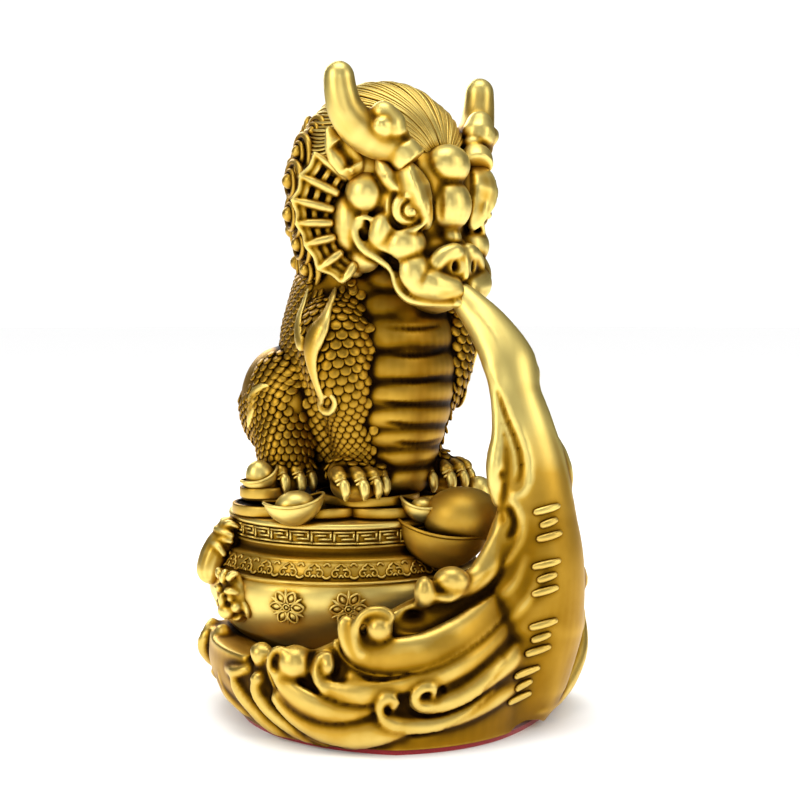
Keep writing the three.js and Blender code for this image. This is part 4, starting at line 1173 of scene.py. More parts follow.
    def strokes(self) -> None:
        """Adds four rows of short raised strokes that lie on the column."""
        for z, centre in ((57.4, -0.2), (43.2, -1.4), (27.4, -0.4), (14.8, -2.4)):
            for k, length in enumerate((7.4, 5.4, 8)):
                height = z + (k - 1) * 3.5
                _, wide, _ = self.section(height)
                marks = []
                for t in (-0.5, -0.2, 0.2, 0.5):
                    start = self.on_column((centre + t * length) / wide, height + 1.6 * t, 20)
                    hit = self.surface.ray_cast(start, -self.face)[0]
                    marks.append((hit if hit is not None else start - self.face * 20) + self.face * 0.3)
                self.clay.limb(marks, [0.8, 1.05, 1, 0.65], flat=0.75, face=self.face, sides=12, step=0.6)

    def cast(self) -> None:
        """Skins the water over and saws its foot flat."""
        self.clay.settle(voxel=0.62, rounds=9)
        self.clay.cut_flat(self.foot)

    def build(self) -> list[Shape]:
        """Models the water and lays the strokes on it.

        Returns:
            The pieces.
        """
        steps = (self.core, self.front_waves, self.back_waves, self.column, self.cast)
        return [
            self.piece("wave_bank", self.finish, *steps, carve=self.carve, rounds=2, factor=0.4),
            self.piece("stroke_rows", self.finish, self.strokes),
        ]


# The treasure basin


@dataclass
class TreasureBasin(SubAssembly):
    """The round basin with its meander band, its cloud band, its flowers and its beast mask."""

    polished: Finish
    x: float = -16.0
    y: float = 11.0
    rim: float = 33.0
    belly: float = 39.0
    rim_z: float = 55.5
    flower_z: float = 34.0

    def wall(self, z: float) -> float:
        """Returns the wall's radius at a height."""
        profile = self.profile
        return float(np.interp(z, [h for _, h in profile], [r for r, _ in profile]))

    @property
    def profile(self) -> list[tuple[float, float]]:
        """The wall's radius and height, from the foot up."""
        rim, belly, top = self.rim, self.belly, self.rim_z
        curve = [(27, 17), (31.2, 21.4), (34.6, 25.2), (37, 28.8), (38.4, 32), (belly, 35), (38.8, 37.4),
            (38.2, 39.4)]
        return [*curve, (37.9, 39.6), (38, 40), (38.3, 40.3), (38, 40.7), (37.5, 40.9), (36.9, 41.0),
            (36, 43), (35, 45), (34.6, 45.4), (34.7, 45.8), (34, 46.2), (33, 46.6), (32.5, 47.4),
            (32.4, 48.6), (32.8, 49), (32.9, 49.4), (32.5, 49.6), (32.2, 49.7), (32.2, 53.7), (32.5, 53.8),
            (rim - 0.1, 54), (rim, top - 1), (rim - 0.2, top - 0.3), (rim - 0.9, top)]

    def seat(self, turn: float, z: float, lift: float = 0) -> Matrix:
        """Returns where a form sits on the wall, facing out.

        Args:
            turn: The angle round the basin in degrees.
            z: The height.
            lift: How far out from the wall.

        Returns:
            The form's place, with its x to the viewer's right and its y up the wall.
        """
        out = Vector((math.cos(math.radians(turn)), math.sin(math.radians(turn)), 0))
        steep = Vector((self.wall(z + 0.5) - self.wall(z - 0.5), 1.0)).normalized()
        normal = out * steep.y - UP * steep.x
        place = Vector((self.x, self.y, z)) + out * self.wall(z) + normal * lift
        return seat(place, normal, UP)

    def pattern(self, lines: Sequence[Sequence[Point]], turn: float, z: float, size: float,
                thick: float) -> None:
        """Lays a pattern of thin raised lines on the wall.

        Args:
            lines: Each line's points, as (across, up) in millimetres from the pattern's middle.
            turn: The angle of its middle round the basin.
            z: The height of its middle.
            size: What the points are multiplied by.
            thick: The half width of its lines.
        """
        for line in lines:
            marks = []
            for u, v in line:
                angle = turn + math.degrees(u * size / self.wall(z))
                marks.append(self.seat(angle, z + v * size, 0.1).translation)
            self.clay.limb(marks, [thick, thick], sides=6, step=max(0.7, thick * 2.2))

    def meander(self) -> None:
        """Cuts the meander band: interlocked square hooks of crisp bars."""
        units = 33
        arc = 2 * math.pi * (self.rim - 0.6) / units
        tall, thick, z = 3.1, 0.5, 51.75
        hook = [(-0.5, -0.5), (-0.5, 0.5), (0.34, 0.5), (0.34, -0.12), (-0.16, -0.12)]
        for k in range(units):
            middle = 360 * k / units
            for line in (hook, [(-0.3, 0.2), (0.1, 0.2)], [(-0.5, -0.5), (0.5, -0.5)]):
                for (u0, v0), (u1, v1) in zip(line, line[1:]):
                    place = self.seat(middle + 360 / units * (u0 + u1) / 2, z + (v0 + v1) / 2 * tall, 0.1)
                    size = (abs(u1 - u0) * arc + thick, abs(v1 - v0) * tall + thick, 0.7)
                    bmesh.ops.create_cube(self.clay.bm, size=1, matrix=place @ Matrix.Diagonal((*size, 1)))

    def clouds(self) -> None:
        """Lays the cloud band: linked cloud heads, each with a pair of scrolls."""
        units = 31
        dome = [(-1.5, 0.2), (-1.4, 1.1), (-0.6, 1.4), (0, 2), (0.6, 1.4), (1.4, 1.1), (1.5, 0.2)]
        volute = [(0.4, 0.3), (1.1, 0.5), (2, 0.3), (2.4, -0.5), (1.9, -1.2), (1.1, -1.1), (0.9, -0.4),
            (1.5, -0.3)]
        link = [(2.3, -1), (2.8, -1.5), (3.43, -1.7), (4.06, -1.5), (4.56, -1.0)]
        crown = [(2.5, 1.2), (2.9, 1.8), (3.43, 1.9), (3.96, 1.8), (4.36, 1.2)]
        lines = [dome, volute, [(-u, v) for u, v in volute], link, crown, [(-0.7, -1.5), (0, -0.9),
            (0.7, -1.5)]]
        for k in range(units):
            self.pattern(lines, 360 * (k + 0.3) / units, 43.2, 1, 0.36)

    def flower(self, turn: float) -> None:
        """Adds a flower of six outlined petals with pointed sepals between them.

        Args:
            turn: The angle of its middle round the basin.
        """
        base = self.seat(turn, self.flower_z)
        for k in range(6):
            spin = base @ Matrix.Rotation(k * math.pi / 3, 4, "Z")
            loop = [(1.2, 0), (2.3, 1.05), (3.6, 1.15), (4.9, 0), (3.6, -1.15), (2.3, -1.05)]
            marks = [spin @ Vector((u, v, 0.55)) for u, v in loop]
            self.clay.limb([*marks, marks[0]], [0.36, 0.36], sides=8, step=0.5)
            self.clay.limb([spin @ Vector((1.4, 0, 0.25)), spin @ Vector((4.2, 0, 0.3))], [0.3, 1, 0.6],
                flat=0.5, face=base.to_3x3() @ UP, sides=10, step=0.5)
            sepal = spin @ Matrix.Rotation(math.pi / 6, 4, "Z")
            self.clay.limb([sepal @ Vector((u, 0, 0.2)) for u in (1.2, 3, 5.2)], [0.5, 0.8, 0.12], flat=0.8,
                face=base.to_3x3() @ UP, sides=8, step=0.6, keel=0.3)
        ring = [base @ Vector((0.95 * math.cos(t), 0.95 * math.sin(t), 0.7))
            for t in spread(0, 2 * math.pi, 9)]
        self.clay.limb(ring, [0.3, 0.3], sides=8, step=0.4)
        self.clay.ball(base @ Vector((0, 0, 0.5)), 0.6, sides=10)

    def mask(self) -> None:
        """Adds the beast mask and the rearing handle at the left."""
        base = self.seat(-140, 34) @ Matrix.Diagonal((1.08, 1.08, 1.2, 1))
        face = base.to_3x3()

        def at(u: float, v: float, w: float) -> Vector:
            """Returns a place on the mask: across, up and out."""
            return base @ Vector((u, v, w))

        self.clay.ball(at(0, 0, -1), (5.4, 7, 3.4), face)
        self.clay.ball(at(0, -2.6, 2.2), (2.8, 2.2, 1.8), face)
        self.clay.ball(at(0, 0.2, 2.6), (1.2, 2.4, 1.2), face)
        for side in SIDES:
            self.clay.limb([at(0.8 * side, 2.4, 2), at(2.6 * side, 3.2, 2), at(4.4 * side, 2, 0.8)],
                [0.8, 1.1, 0.5])
            self.clay.ball(at(2.3 * side, 1, 1.8), 1.1)
            self.clay.ball(at(3.2 * side, -1.4, 1.2), (1.8, 1.6, 1.4), face)
            self.clay.limb([at(1.6 * side, 5.2, 1), at(2.8 * side, 6.8, 0.8), at(4.6 * side, 7.2, -0.2)],
                [1.2, 1.2, 0.5])
            self.clay.limb([at(4.4 * side, 0.2, 0), at(5.4 * side, -2.4, -0.4), at(4.8 * side, -5, -0.6)],
                [0.9, 1.2, 0.6])
            self.clay.limb([at(0.6 * side, -4, 1.8), at(2.2 * side, -4.8, 1.2), at(3.6 * side, -4, 0.6)],
                [0.6, 0.8, 0.5])
        self.clay.limb([at(0, 4.4, 1.6), at(0, 6.2, 1.4), at(0, 7.8, 0)], [0.9, 1.3, 0.6])
        self.handle()
        self.clay.settle(voxel=0.42, rounds=2)

    def handle(self) -> None:
        """Adds the scrolled handle above the mask: a thick arched body, a rolled top and ribs across it."""
        run = ((-158, 54.4, 0.4), (-159, 52.4, 1.6), (-160, 49, 1.9), (-160.5, 44.5, 1.6), (-160, 40, 1),
            (-159.5, 35.5, 0))
        spine = [self.seat(turn, z, out).translation for turn, z, out in run]
        self.clay.limb(spine, [2.6, 3.9, 4.6, 4.8, 4.4, 3.0])
        for z, out in ((53, 3.4), (50.4, 4.7), (47.6, 5), (44.8, 4.6)):
            rib = ((-169, z - 1.2, out - 3.4), (-165.4, z, out - 0.8), (-160, z + 0.5, out + 0.5),
                (-154.8, z, out - 0.8), (-151.4, z - 1.2, out - 3.4))
            self.clay.limb([self.seat(*spot).translation for spot in rib], [0.7, 1.1, 1.2, 1.1, 0.7])

    def bowl(self) -> None:
        """Turns the bowl, closed over just above its rim."""
        self.clay.turned([(0, 17), *self.profile, (0, self.rim_z + 0.4)], (self.x, self.y, 0), 160)

    def flowers(self) -> None:
        """Lays the flowers round the belly: two in front, and three behind."""
        for turn in (-111, -86.4, 40, 90, 140):
            self.flower(turn)

    def build(self) -> list[Shape]:
        """Turns the basin and lays its relief.

        Returns:
            The pieces.
        """
        steps = {"basin_bowl": self.bowl, "meander_band": self.meander, "cloud_band": self.clouds,
            "basin_flowers": self.flowers, "beast_mask": self.mask}
        return [self.piece(name, self.polished, step) for name, step in steps.items()]


@dataclass
class Treasure(SubAssembly):
    """Coins and boat-shaped ingots heaped in the basin under the beast."""

    polished: Finish
    satin: Finish
    stained: Finish
    bed: float = 57.0

    def coin(self, x: float, y: float, z: float, r: float, thick: float) -> None:
        """Adds a coin with a raised edge.

        Args:
            x: Its middle, left to right.
            y: Its middle, front to back.
            z: Its middle's height.
            r: Its radius.
            thick: Its thickness.
        """
        h = thick / 2
        self.clay.turned([(0, -h), (r - 0.5, -h), (r - 0.1, -h + 0.15), (r, -h + 0.5), (r, h - 0.5),
            (r - 0.1, h - 0.12), (r - 0.45, h), (r - 1.3, h), (r - 1.5, h - 0.12), (r - 1.65, h - 0.4),
            (0, h - 0.4)], (x, y, z), 72)

    def ingot(self, place: Point, size: Point, dome: Point, yaw: float = 0, tilt: float = 0,
              lift: float = 0.5, dip: float = 0.3) -> None:
        """Adds a boat-shaped ingot with a domed middle.

        Args:
            place: The middle of its hull's top.
            size: The hull's half length, half depth and depth.
            dome: The dome's half sizes.
            yaw: How far it is turned, in degrees.
            tilt: How far its right end is raised, in degrees.
            lift: How far its tips rise, as a share of its depth.
            dip: How far its top is dished.
        """
        turn = Euler((0, math.radians(-tilt), math.radians(yaw))).to_matrix().to_4x4()
        seated = Matrix.Translation(Vector(place)) @ turn
        hull = Clay()
        bmesh.ops.create_uvsphere(hull.bm, u_segments=64, v_segments=40, radius=1)
        for vert in hull.bm.verts:
            x, y, z = vert.co
            rise = lift * x * x
            low = z if z < 0 else -dip * (1 - math.hypot(x, y) ** 2) ** 0.5 * (1 if z > 0.02 else 0)
            vert.co = (x * size[0], y * size[1], (low + rise) * size[2])
        bmesh.ops.recalc_face_normals(hull.bm, faces=hull.bm.faces)
        bmesh.ops.transform(hull.bm, matrix=seated, verts=hull.bm.verts)
        self.clay.take(hull.bm)
        lip = [(math.cos(t), math.sin(t)) for t in spread(0, 2 * math.pi, 33)]
        self.clay.limb([seated @ Vector((x * size[0], y * size[1], lift * x * x * size[2])) for x,
            y in lip], [0.42, 0.42], sides=8, step=0.8)
        self.clay.ball(seated @ Vector((0, 0, -dip * size[2] * 0.5)), dome, turn.to_3x3(), sides=48)

    def coins(self) -> None:
        """Heaps the coins on the bed, some flat and some one on another."""
        for x, y, z, r, thick in ((-5, -4, 0.4, 12.5, 3), (-9, -1, 3.4, 14.5, 2.8), (-35, 0, 0.2, 12, 3.0),
                (-36, 5, 3.2, 9, 3), (2, 12, 1.6, 13, 3.4), (-16, 15, 2.4, 25, 3.4),
                (-22, -6, 0.6, 12, 2.8), (-13, 30, 1.4, 11, 3), (-34, 24, 1, 10, 3.0), (4, 26, 0.6, 9, 3),
                (-38, -5, 5.2, 6.4, 3)):
            self.coin(x, y, self.bed + z, r, thick)

    def ingots(self) -> None:
        """Lays the smaller ingots, and a nugget at the right."""
        self.ingot((-28.4, -18.3, 60.6), (8.2, 6.6, 6), (5.6, 4.6, 4.4), yaw=10, tilt=8, lift=0.26)
        self.ingot((6.4, -14, 59.4), (6.4, 4.6, 4.8), (3.6, 3, 3), yaw=-10, tilt=-8, lift=0.3)
        self.ingot((-38.4, -7, 66.2), (5.4, 4.6, 4.4), (4.2, 3.8, 5.6), yaw=20, tilt=22, lift=0.3)
        self.ingot((-14, 39, 61), (8, 5.4, 4.8), (4.6, 3.6, 4.4), tilt=8)
        self.clay.ball((22, 3, 60), (4.6, 5, 5.4), sides=40)

    def great_ingot(self) -> None:
        """Lays the great ingot in front, with its swollen middle."""
        self.ingot((11.6, -14, 52.6), (12.6, 9.6, 10.4), (4, 4, 3), yaw=-6, tilt=-9, lift=0.15, dip=0.1)
        self.clay.ball((17, -14, 56.4), (10.8, 9.5, 8.2), sides=56)

    def build(self) -> list[Shape]:
        """Lays the coins and the ingots.

        Returns:
            The pieces.
        """
        return [
            self.piece("coins", self.stained, self.coins),
            self.piece("ingots", self.polished, self.ingots),
            self.piece("great_ingot", self.satin, self.great_ingot),
        ]


# The beast's body


@dataclass
class Body(BeastPart):
    """The seated body: torso, belly plates, legs, paws, tail, scales and flame ornaments."""

    polished: Finish
    stained: Finish
    rubbed: Finish
    frame: Stance = Stance(-8.4, 7.4, 35)
    scale_across: float = 3.1
    scale_step: float = 1.85

    PAWS = (((13, 14.6, 64), 4), ((-8.5, 23.5, 64), 3))
    HAUNCH = (-23, 20, 103)

    @property
    def spine(self) -> Form:
        """The torso's middle line, from the seat up, and its half widths."""
        marks = [(-14, 0, 58), (-13, 0, 74), (-9, 0, 90), (-5, 0, 105), (0, 0, 119), (5, 0, 132)]
        return self.run(1, *marks), [16, 17.6, 20.4, 22, 20.5, 15]

    def leg(self, side: int) -> Form:
        """The foreleg's middle line, from the shoulder down, and its half widths."""
        marks = [(4.6, 14.6, 116), (8.4, 17, 104), (9.8, 15.8, 94), (9, 12.2, 84), (8, 10, 74),
            (10, 11.4, 64)]
        return self.run(side, *marks), [6.5, 10.5, 9.4, 7.2, 6.2, 6.8]

    def shank(self, side: int) -> Form:
        """The hind shank's middle line, from the haunch down, and its half widths."""
        marks = [(-14, 20.6, 84), (-10, 22, 74), (-9, 22.6, 64)]
        return self.run(side, *marks), [10, 8, 7]

    def soft(self) -> None:
        """Adds the large soft forms."""
        at = self.frame
        marks, radii = self.spine
        self.clay.limb(marks, radii, sides=32, step=3)
        self.ball(1, (6, 0, 97), (16.4, 15, 27), pitch=-8, sides=32)
        self.ball(1, (-19, 0, 84), (19, 18, 20), sides=32)
        for side in SIDES:
            marks, radii = self.leg(side)
            self.clay.limb(marks, radii, sides=28, step=2)
            self.ball(side, (-17, 19.6, 86), (14, 10.2, 15.8), pitch=-12, sides=32)
            marks, radii = self.shank(side)
            self.clay.limb(marks, radii, sides=24, step=2)
        for l, top, r in ((0, 113, 5.6), (8, 104, 4.2), (-8, 104, 4.2)):
            lock = [at(-33, l * 0.4, 66), at(-38, l * 0.7, 79), at(-34, l, 93), at(-26, l * 1.3, top)]
            self.clay.limb(lock, [r, r * 1.1, r * 0.9, 0.8], sides=16)
        self.clay.settle(voxel=0.9, rounds=6)

    def plates(self) -> None:
        """Adds the broad plates down the throat, chest and belly, each one swelling a little."""
        rows = [(118, 6.4, 14.5, 11), (110.4, 8.6, 17, 12), (104.4, 10.4, 17.8, 12.6),
            (96.6, 11.4, 17.8, 11), (90.2, 11.6, 17, 10), (84.3, 11.2, 15.8, 9.4), (78.9, 10.4, 14.2, 9),
            (73.5, 9.2, 12.8, 8.6), (67.4, 7.8, 12, 8.4)]
        for z, f, half, tall in rows:
            self.ball(1, (f, 1.8, z), (12.4, half, tall), sides=40)

    def paw(self, at: Point, side: int, toes: int) -> None:
        """Adds a paw: its pads, toes and knuckles.

        Args:
            at: The paw's middle, in the body's frame.
            side: The side that it is on.
            toes: How many toes it has.
        """
        f0, l0, z0 = at[0], at[1] * side, at[2]

        def step(f: float, l: float, z: float) -> Vector:
            """Returns a place on the paw: forwards, left and up from its middle."""
            return self.frame(f0 + f, l0 + l, z0 + z)

        self.clay.ball(step(1, 0, 0.8), (7, 6.8, 4.6), self.frame.basis, sides=24)
        self.clay.ball(step(-2, 0, 4), (5.8, 6, 4.6), self.frame.basis, sides=24)
        for k in range(toes):
            l = (k - (toes - 1) / 2) * 3.85
            f = 6.2 - 0.09 * l * l
            out = l * 1.14
            self.clay.limb([step(f - 5, l * 0.9, 3.4), step(f - 1.6, l, 4.4), step(f + 0.6, out, 3.4)],
                [1.6, 2.3, 2.0])
            self.clay.ball(step(f + 0.4, out, 3.8), (2.2, 2.1, 2.1), self.frame.basis)

    def claw_row(self, at: Point, side: int, toes: int) -> None:
        """Adds a paw's claws, each under a cuff of two fur rolls.

        Args:
            at: The paw's middle, in the body's frame.
            side: The side that it is on.
            toes: How many toes it has.
        """
        f0, l0, z0 = at[0], at[1] * side, at[2]
        for k in range(toes):
            l = (k - (toes - 1) / 2) * 3.85
            f = f0 + 6.2 - 0.09 * l * l
            out = l0 + l * 1.14

            def step(forward: float, up: float, beside: float = 0) -> Vector:
                """Returns a place on the claw: forwards, up and beside."""
                return self.frame(f + forward, out + beside, z0 + up)

            self.clay.limb([step(1.4, 3.0), step(2.8, 1.8), step(3.4, -0.2), step(3.1, -2.5)],
                [1.2, 1.5, 1.25, 0.35], sides=16, step=0.6)
            for up, r in ((3.6, 1.9), (2.7, 1.85)):
                bow = [step(2.0 - 0.5 * abs(b) + (3.6 - up) * 0.8, up - 0.5 * abs(b), b * r * 0.62)
                    for b in (-1.7, -1, 0, 1, 1.7)]
                self.clay.limb(bow, [0.3, 0.62, 0.7, 0.62, 0.3], sides=10, step=0.5)

    def flames(self) -> None:
        """Adds the smooth flame ornaments on the shoulders and the thighs."""
        for side in SIDES:
            out = self.frame.way(0.1, side, 0)
            flat = {"flat": 0.5, "face": out, "sides": 20}
            self.limb(side, [(8.7, 17.2, 118.6), (11.2, 20.6, 114.4), (13.4, 24.2, 110),
                (13.2, 26.4, 105.7), (12.2, 27.2, 102), (11.8, 26.9, 98.2), (11.9, 26, 94.4),
                (12, 24.8, 91.1), (11.6, 23.6, 88.6), (9.6, 22.8, 87), (10.1, 22.3, 85.4),
                (13.2, 21.6, 85.4), (15.2, 21.8, 88), (14.2, 23, 90.2), (12.6, 23.6, 89)], [0.6, 1.6, 1.9,
                2.5, 3.5, 3.4, 2.7, 1.9, 1.4, 1.3, 1.3, 1.3, 1.2, 1, 0.7], **flat)
            self.limb(side, [(1.6, 21.4, 118.4), (2.4, 23.4, 114.4), (4, 26, 110), (6.6, 27.6, 105.6),
                (9.4, 27.8, 101.8)], [0.5, 1.1, 1.5, 1.9, 2.3], **flat)
            for k in range(3):
                self.limb(side, [(-8.6 - k * 1.6, 27.8, 91.4 - k * 1.4), (-12 - k, 29.2, 90.6 - k * 1.9),
                    (-15.6, 29.8, 87.6 - k * 2.2), (-18.4, 29.4, 82.6 - k * 2)], [0.5, 1.3, 1.5, 0.5],
                    **flat)
        self.clay.settle(voxel=0.35, rounds=2)

    def carve(self, skin: Skin) -> None:
        """Cuts the grooves between the plates and draws the tail's locks.

        Args:
            skin: The settled body.
        """
        for z in (107.6, 100.4, 93.4, 87.2, 81.6, 76.2, 70.4):
            sag = [(-14.4, 1), (-9, 0.3), (0, -0.2), (9, 0.3), (17, 1)]
            bow = [self.frame(math.sqrt(max(0, 1 - (l / 17.4) ** 2)) * 13 + 10.5 - abs(z - 95) * 0.09, l, z
                + dz) for l, dz in sag]
            skin.stroke(bow, -0.55, 0.7, fade=0.1)
        for l in (-10.4, -8, -5.6, -2.4, 0, 2.4, 5.6, 8, 10.4):
            lock = [self.frame(-39, l * 0.5, 68), self.frame(-44, l * 0.75, 80), self.frame(-39, l, 94),
                self.frame(-28, l * 1.2, 104)]
            skin.stroke(lock, -0.8, 1.0)

    def scaled(self) -> None:
        """Lays rows of scales round the forelegs, the haunches and the torso."""
        stamp = Clay()
        bmesh.ops.create_circle(stamp.bm, cap_ends=True, segments=9, radius=1)
        top = bmesh.ops.extrude_face_region(stamp.bm, geom=stamp.bm.faces[:])["geom"]
        raised = [v for v in top if isinstance(v, bmesh.types.BMVert)]
        bmesh.ops.translate(stamp.bm, verts=raised, vec=(0, 0, 0.9))
        crown = [f for f in top if isinstance(f, bmesh.types.BMFace)]
        bmesh.ops.inset_region(stamp.bm, faces=crown, thickness=0.26, depth=0.35)
        bmesh.ops.recalc_face_normals(stamp.bm, faces=stamp.bm.faces)
        scale = Stamp(stamp)
        count = 0
        for side in SIDES:
            haunch = self.run(side, self.HAUNCH, (-19, 20, 88), (-12, 21, 74),
                (-9, 22.4, 66)), [10, 14, 9, 7]
            count += self.coat(scale, self.leg(side), 19, 1.35, 67)
            count += self.coat(scale, haunch, 26, 1.3, 68)
        marks, radii = self.spine
        count += self.coat(scale, (marks[::-1], radii[::-1]), 44, 1.22, 70)
        LOG.info("scales: %d", count)

    def coat(self, scale: Stamp, form: Form, around: int, slack: float, floor: float) -> int:
        """Lays staggered rows of scales round one limb, where that limb is the outer surface.

        Args:
            scale: One scale.
            form: The limb's middle line, from the top down, and its half widths.
            around: How many scales go round it.
            slack: How far past the limb's own surface a scale may still be, as a share of its half width.
            floor: The height below which there are none.

        Returns:
            How many scales were laid.
        """
        marks, radii = form
        path = Path(marks)
        where = np.arange(0, path.length, self.scale_step)
        spots, heads = path.at(where), path.heading(where)
        across, out = path.frames(where, self.frame.way(1, 0, 0))
        laid = 0
        for row, (spot, head) in enumerate(zip(spots, heads)):
            r = float(np.interp(where[row] / path.length, np.linspace(0, 1, len(radii)), radii))
            for k in range(around):
                turn = 2 * math.pi * (k + 0.5 * (row % 2)) / around
                way = Vector(across[row] * math.cos(turn) + out[row] * math.sin(turn))
                hit, normal, _, reach = self.surface.ray_cast(Vector(spot), way)
                if hit is None or not r * 0.72 < reach < r * slack or hit.z < floor or self.bare(hit):
                    continue
                if self.nearest_leg(hit, marks):
                    continue
                down = Vector(head) - normal * normal.dot(Vector(head))
                if normal.dot(way) < 0.35 or down.length < 0.3:
                    continue
                width = min(2 * math.pi * reach / around, self.scale_across * 1.25)
                place = seat(hit - normal * 0.16, normal, -down)
                lean = Matrix.Rotation(math.radians(-19), 4, "X")
                size = Matrix.Diagonal((width * 0.53, self.scale_step * 0.94, 0.6, 1))
                scale.press(self.clay, place @ lean @ size)
                laid += 1
        return laid

    def bare(self, spot: Vector) -> bool:
        """Says whether a place is on the plates, at the tail or under the head, where no scales are.

        Args:
            spot: The place.

        Returns:
            Whether it stays bare.
        """
        local = self.frame.basis.transposed() @ (spot - Vector((self.frame.x, self.frame.y, 0)))
        plates = local.x > 8 and -12.2 < local.y < 15.4 and not (abs(local.y) > 5 and local.z < 80)
        return plates or (local.x < -30 and abs(local.y) < 11) or local.z > 131

    def nearest_leg(self, spot: Vector, own: list[Vector]) -> bool:
        """Says whether a place belongs to a leg other than the one whose marks are given.

        Args:
            spot: The place.
            own: The marks of the limb that is being covered.

        Returns:
            Whether another limb has it.
        """
        for side in SIDES:
            for marks, radii in (self.leg(side), self.shank(side)):
                if (marks[-1] - own[-1]).length < 6:
                    continue
                line = Path(marks)
                even = np.linspace(0, line.length, 24)
                gaps = np.linalg.norm(line.at(even) - np.array(spot), axis=1)
                widths = np.interp(even / line.length, np.linspace(0, 1, len(radii)), radii)
                if (gaps < widths * 0.99).any():
                    return True
            if (own[0] - self.run(side, self.HAUNCH)[0]).length > 1:
                local = self.frame.basis.transposed() @ (spot - self.frame(-18, 20 * side, 86.5))
                if (local.x / 15.4) ** 2 + (local.y / 11) ** 2 + (local.z / 16.8) ** 2 < 1:
                    return True
        return False

    def paws(self) -> None:
        """Adds the paws and skins the whole body over."""
        for side in SIDES:
            for at, toes in self.PAWS:
                self.paw(at, side, toes)
        self.clay.settle(voxel=0.6, rounds=3)

    def claws(self) -> None:
        """Adds the claws of every paw."""
        for side in SIDES:
            for at, toes in self.PAWS:
                self.claw_row(at, side, toes)

    def build(self) -> list[Shape]:
        """Models the body and dresses it.

        Returns:
            The pieces.
        """
        steps = (self.soft, self.plates, self.paws)
        return [
            self.piece("body", self.stained, *steps, carve=self.carve, factor=0.4),
            self.piece("scales", self.rubbed, self.scaled),
            self.piece("claws", self.polished, self.claws),
            self.piece("flame_ornaments", self.polished, self.flames),
        ]


# The head


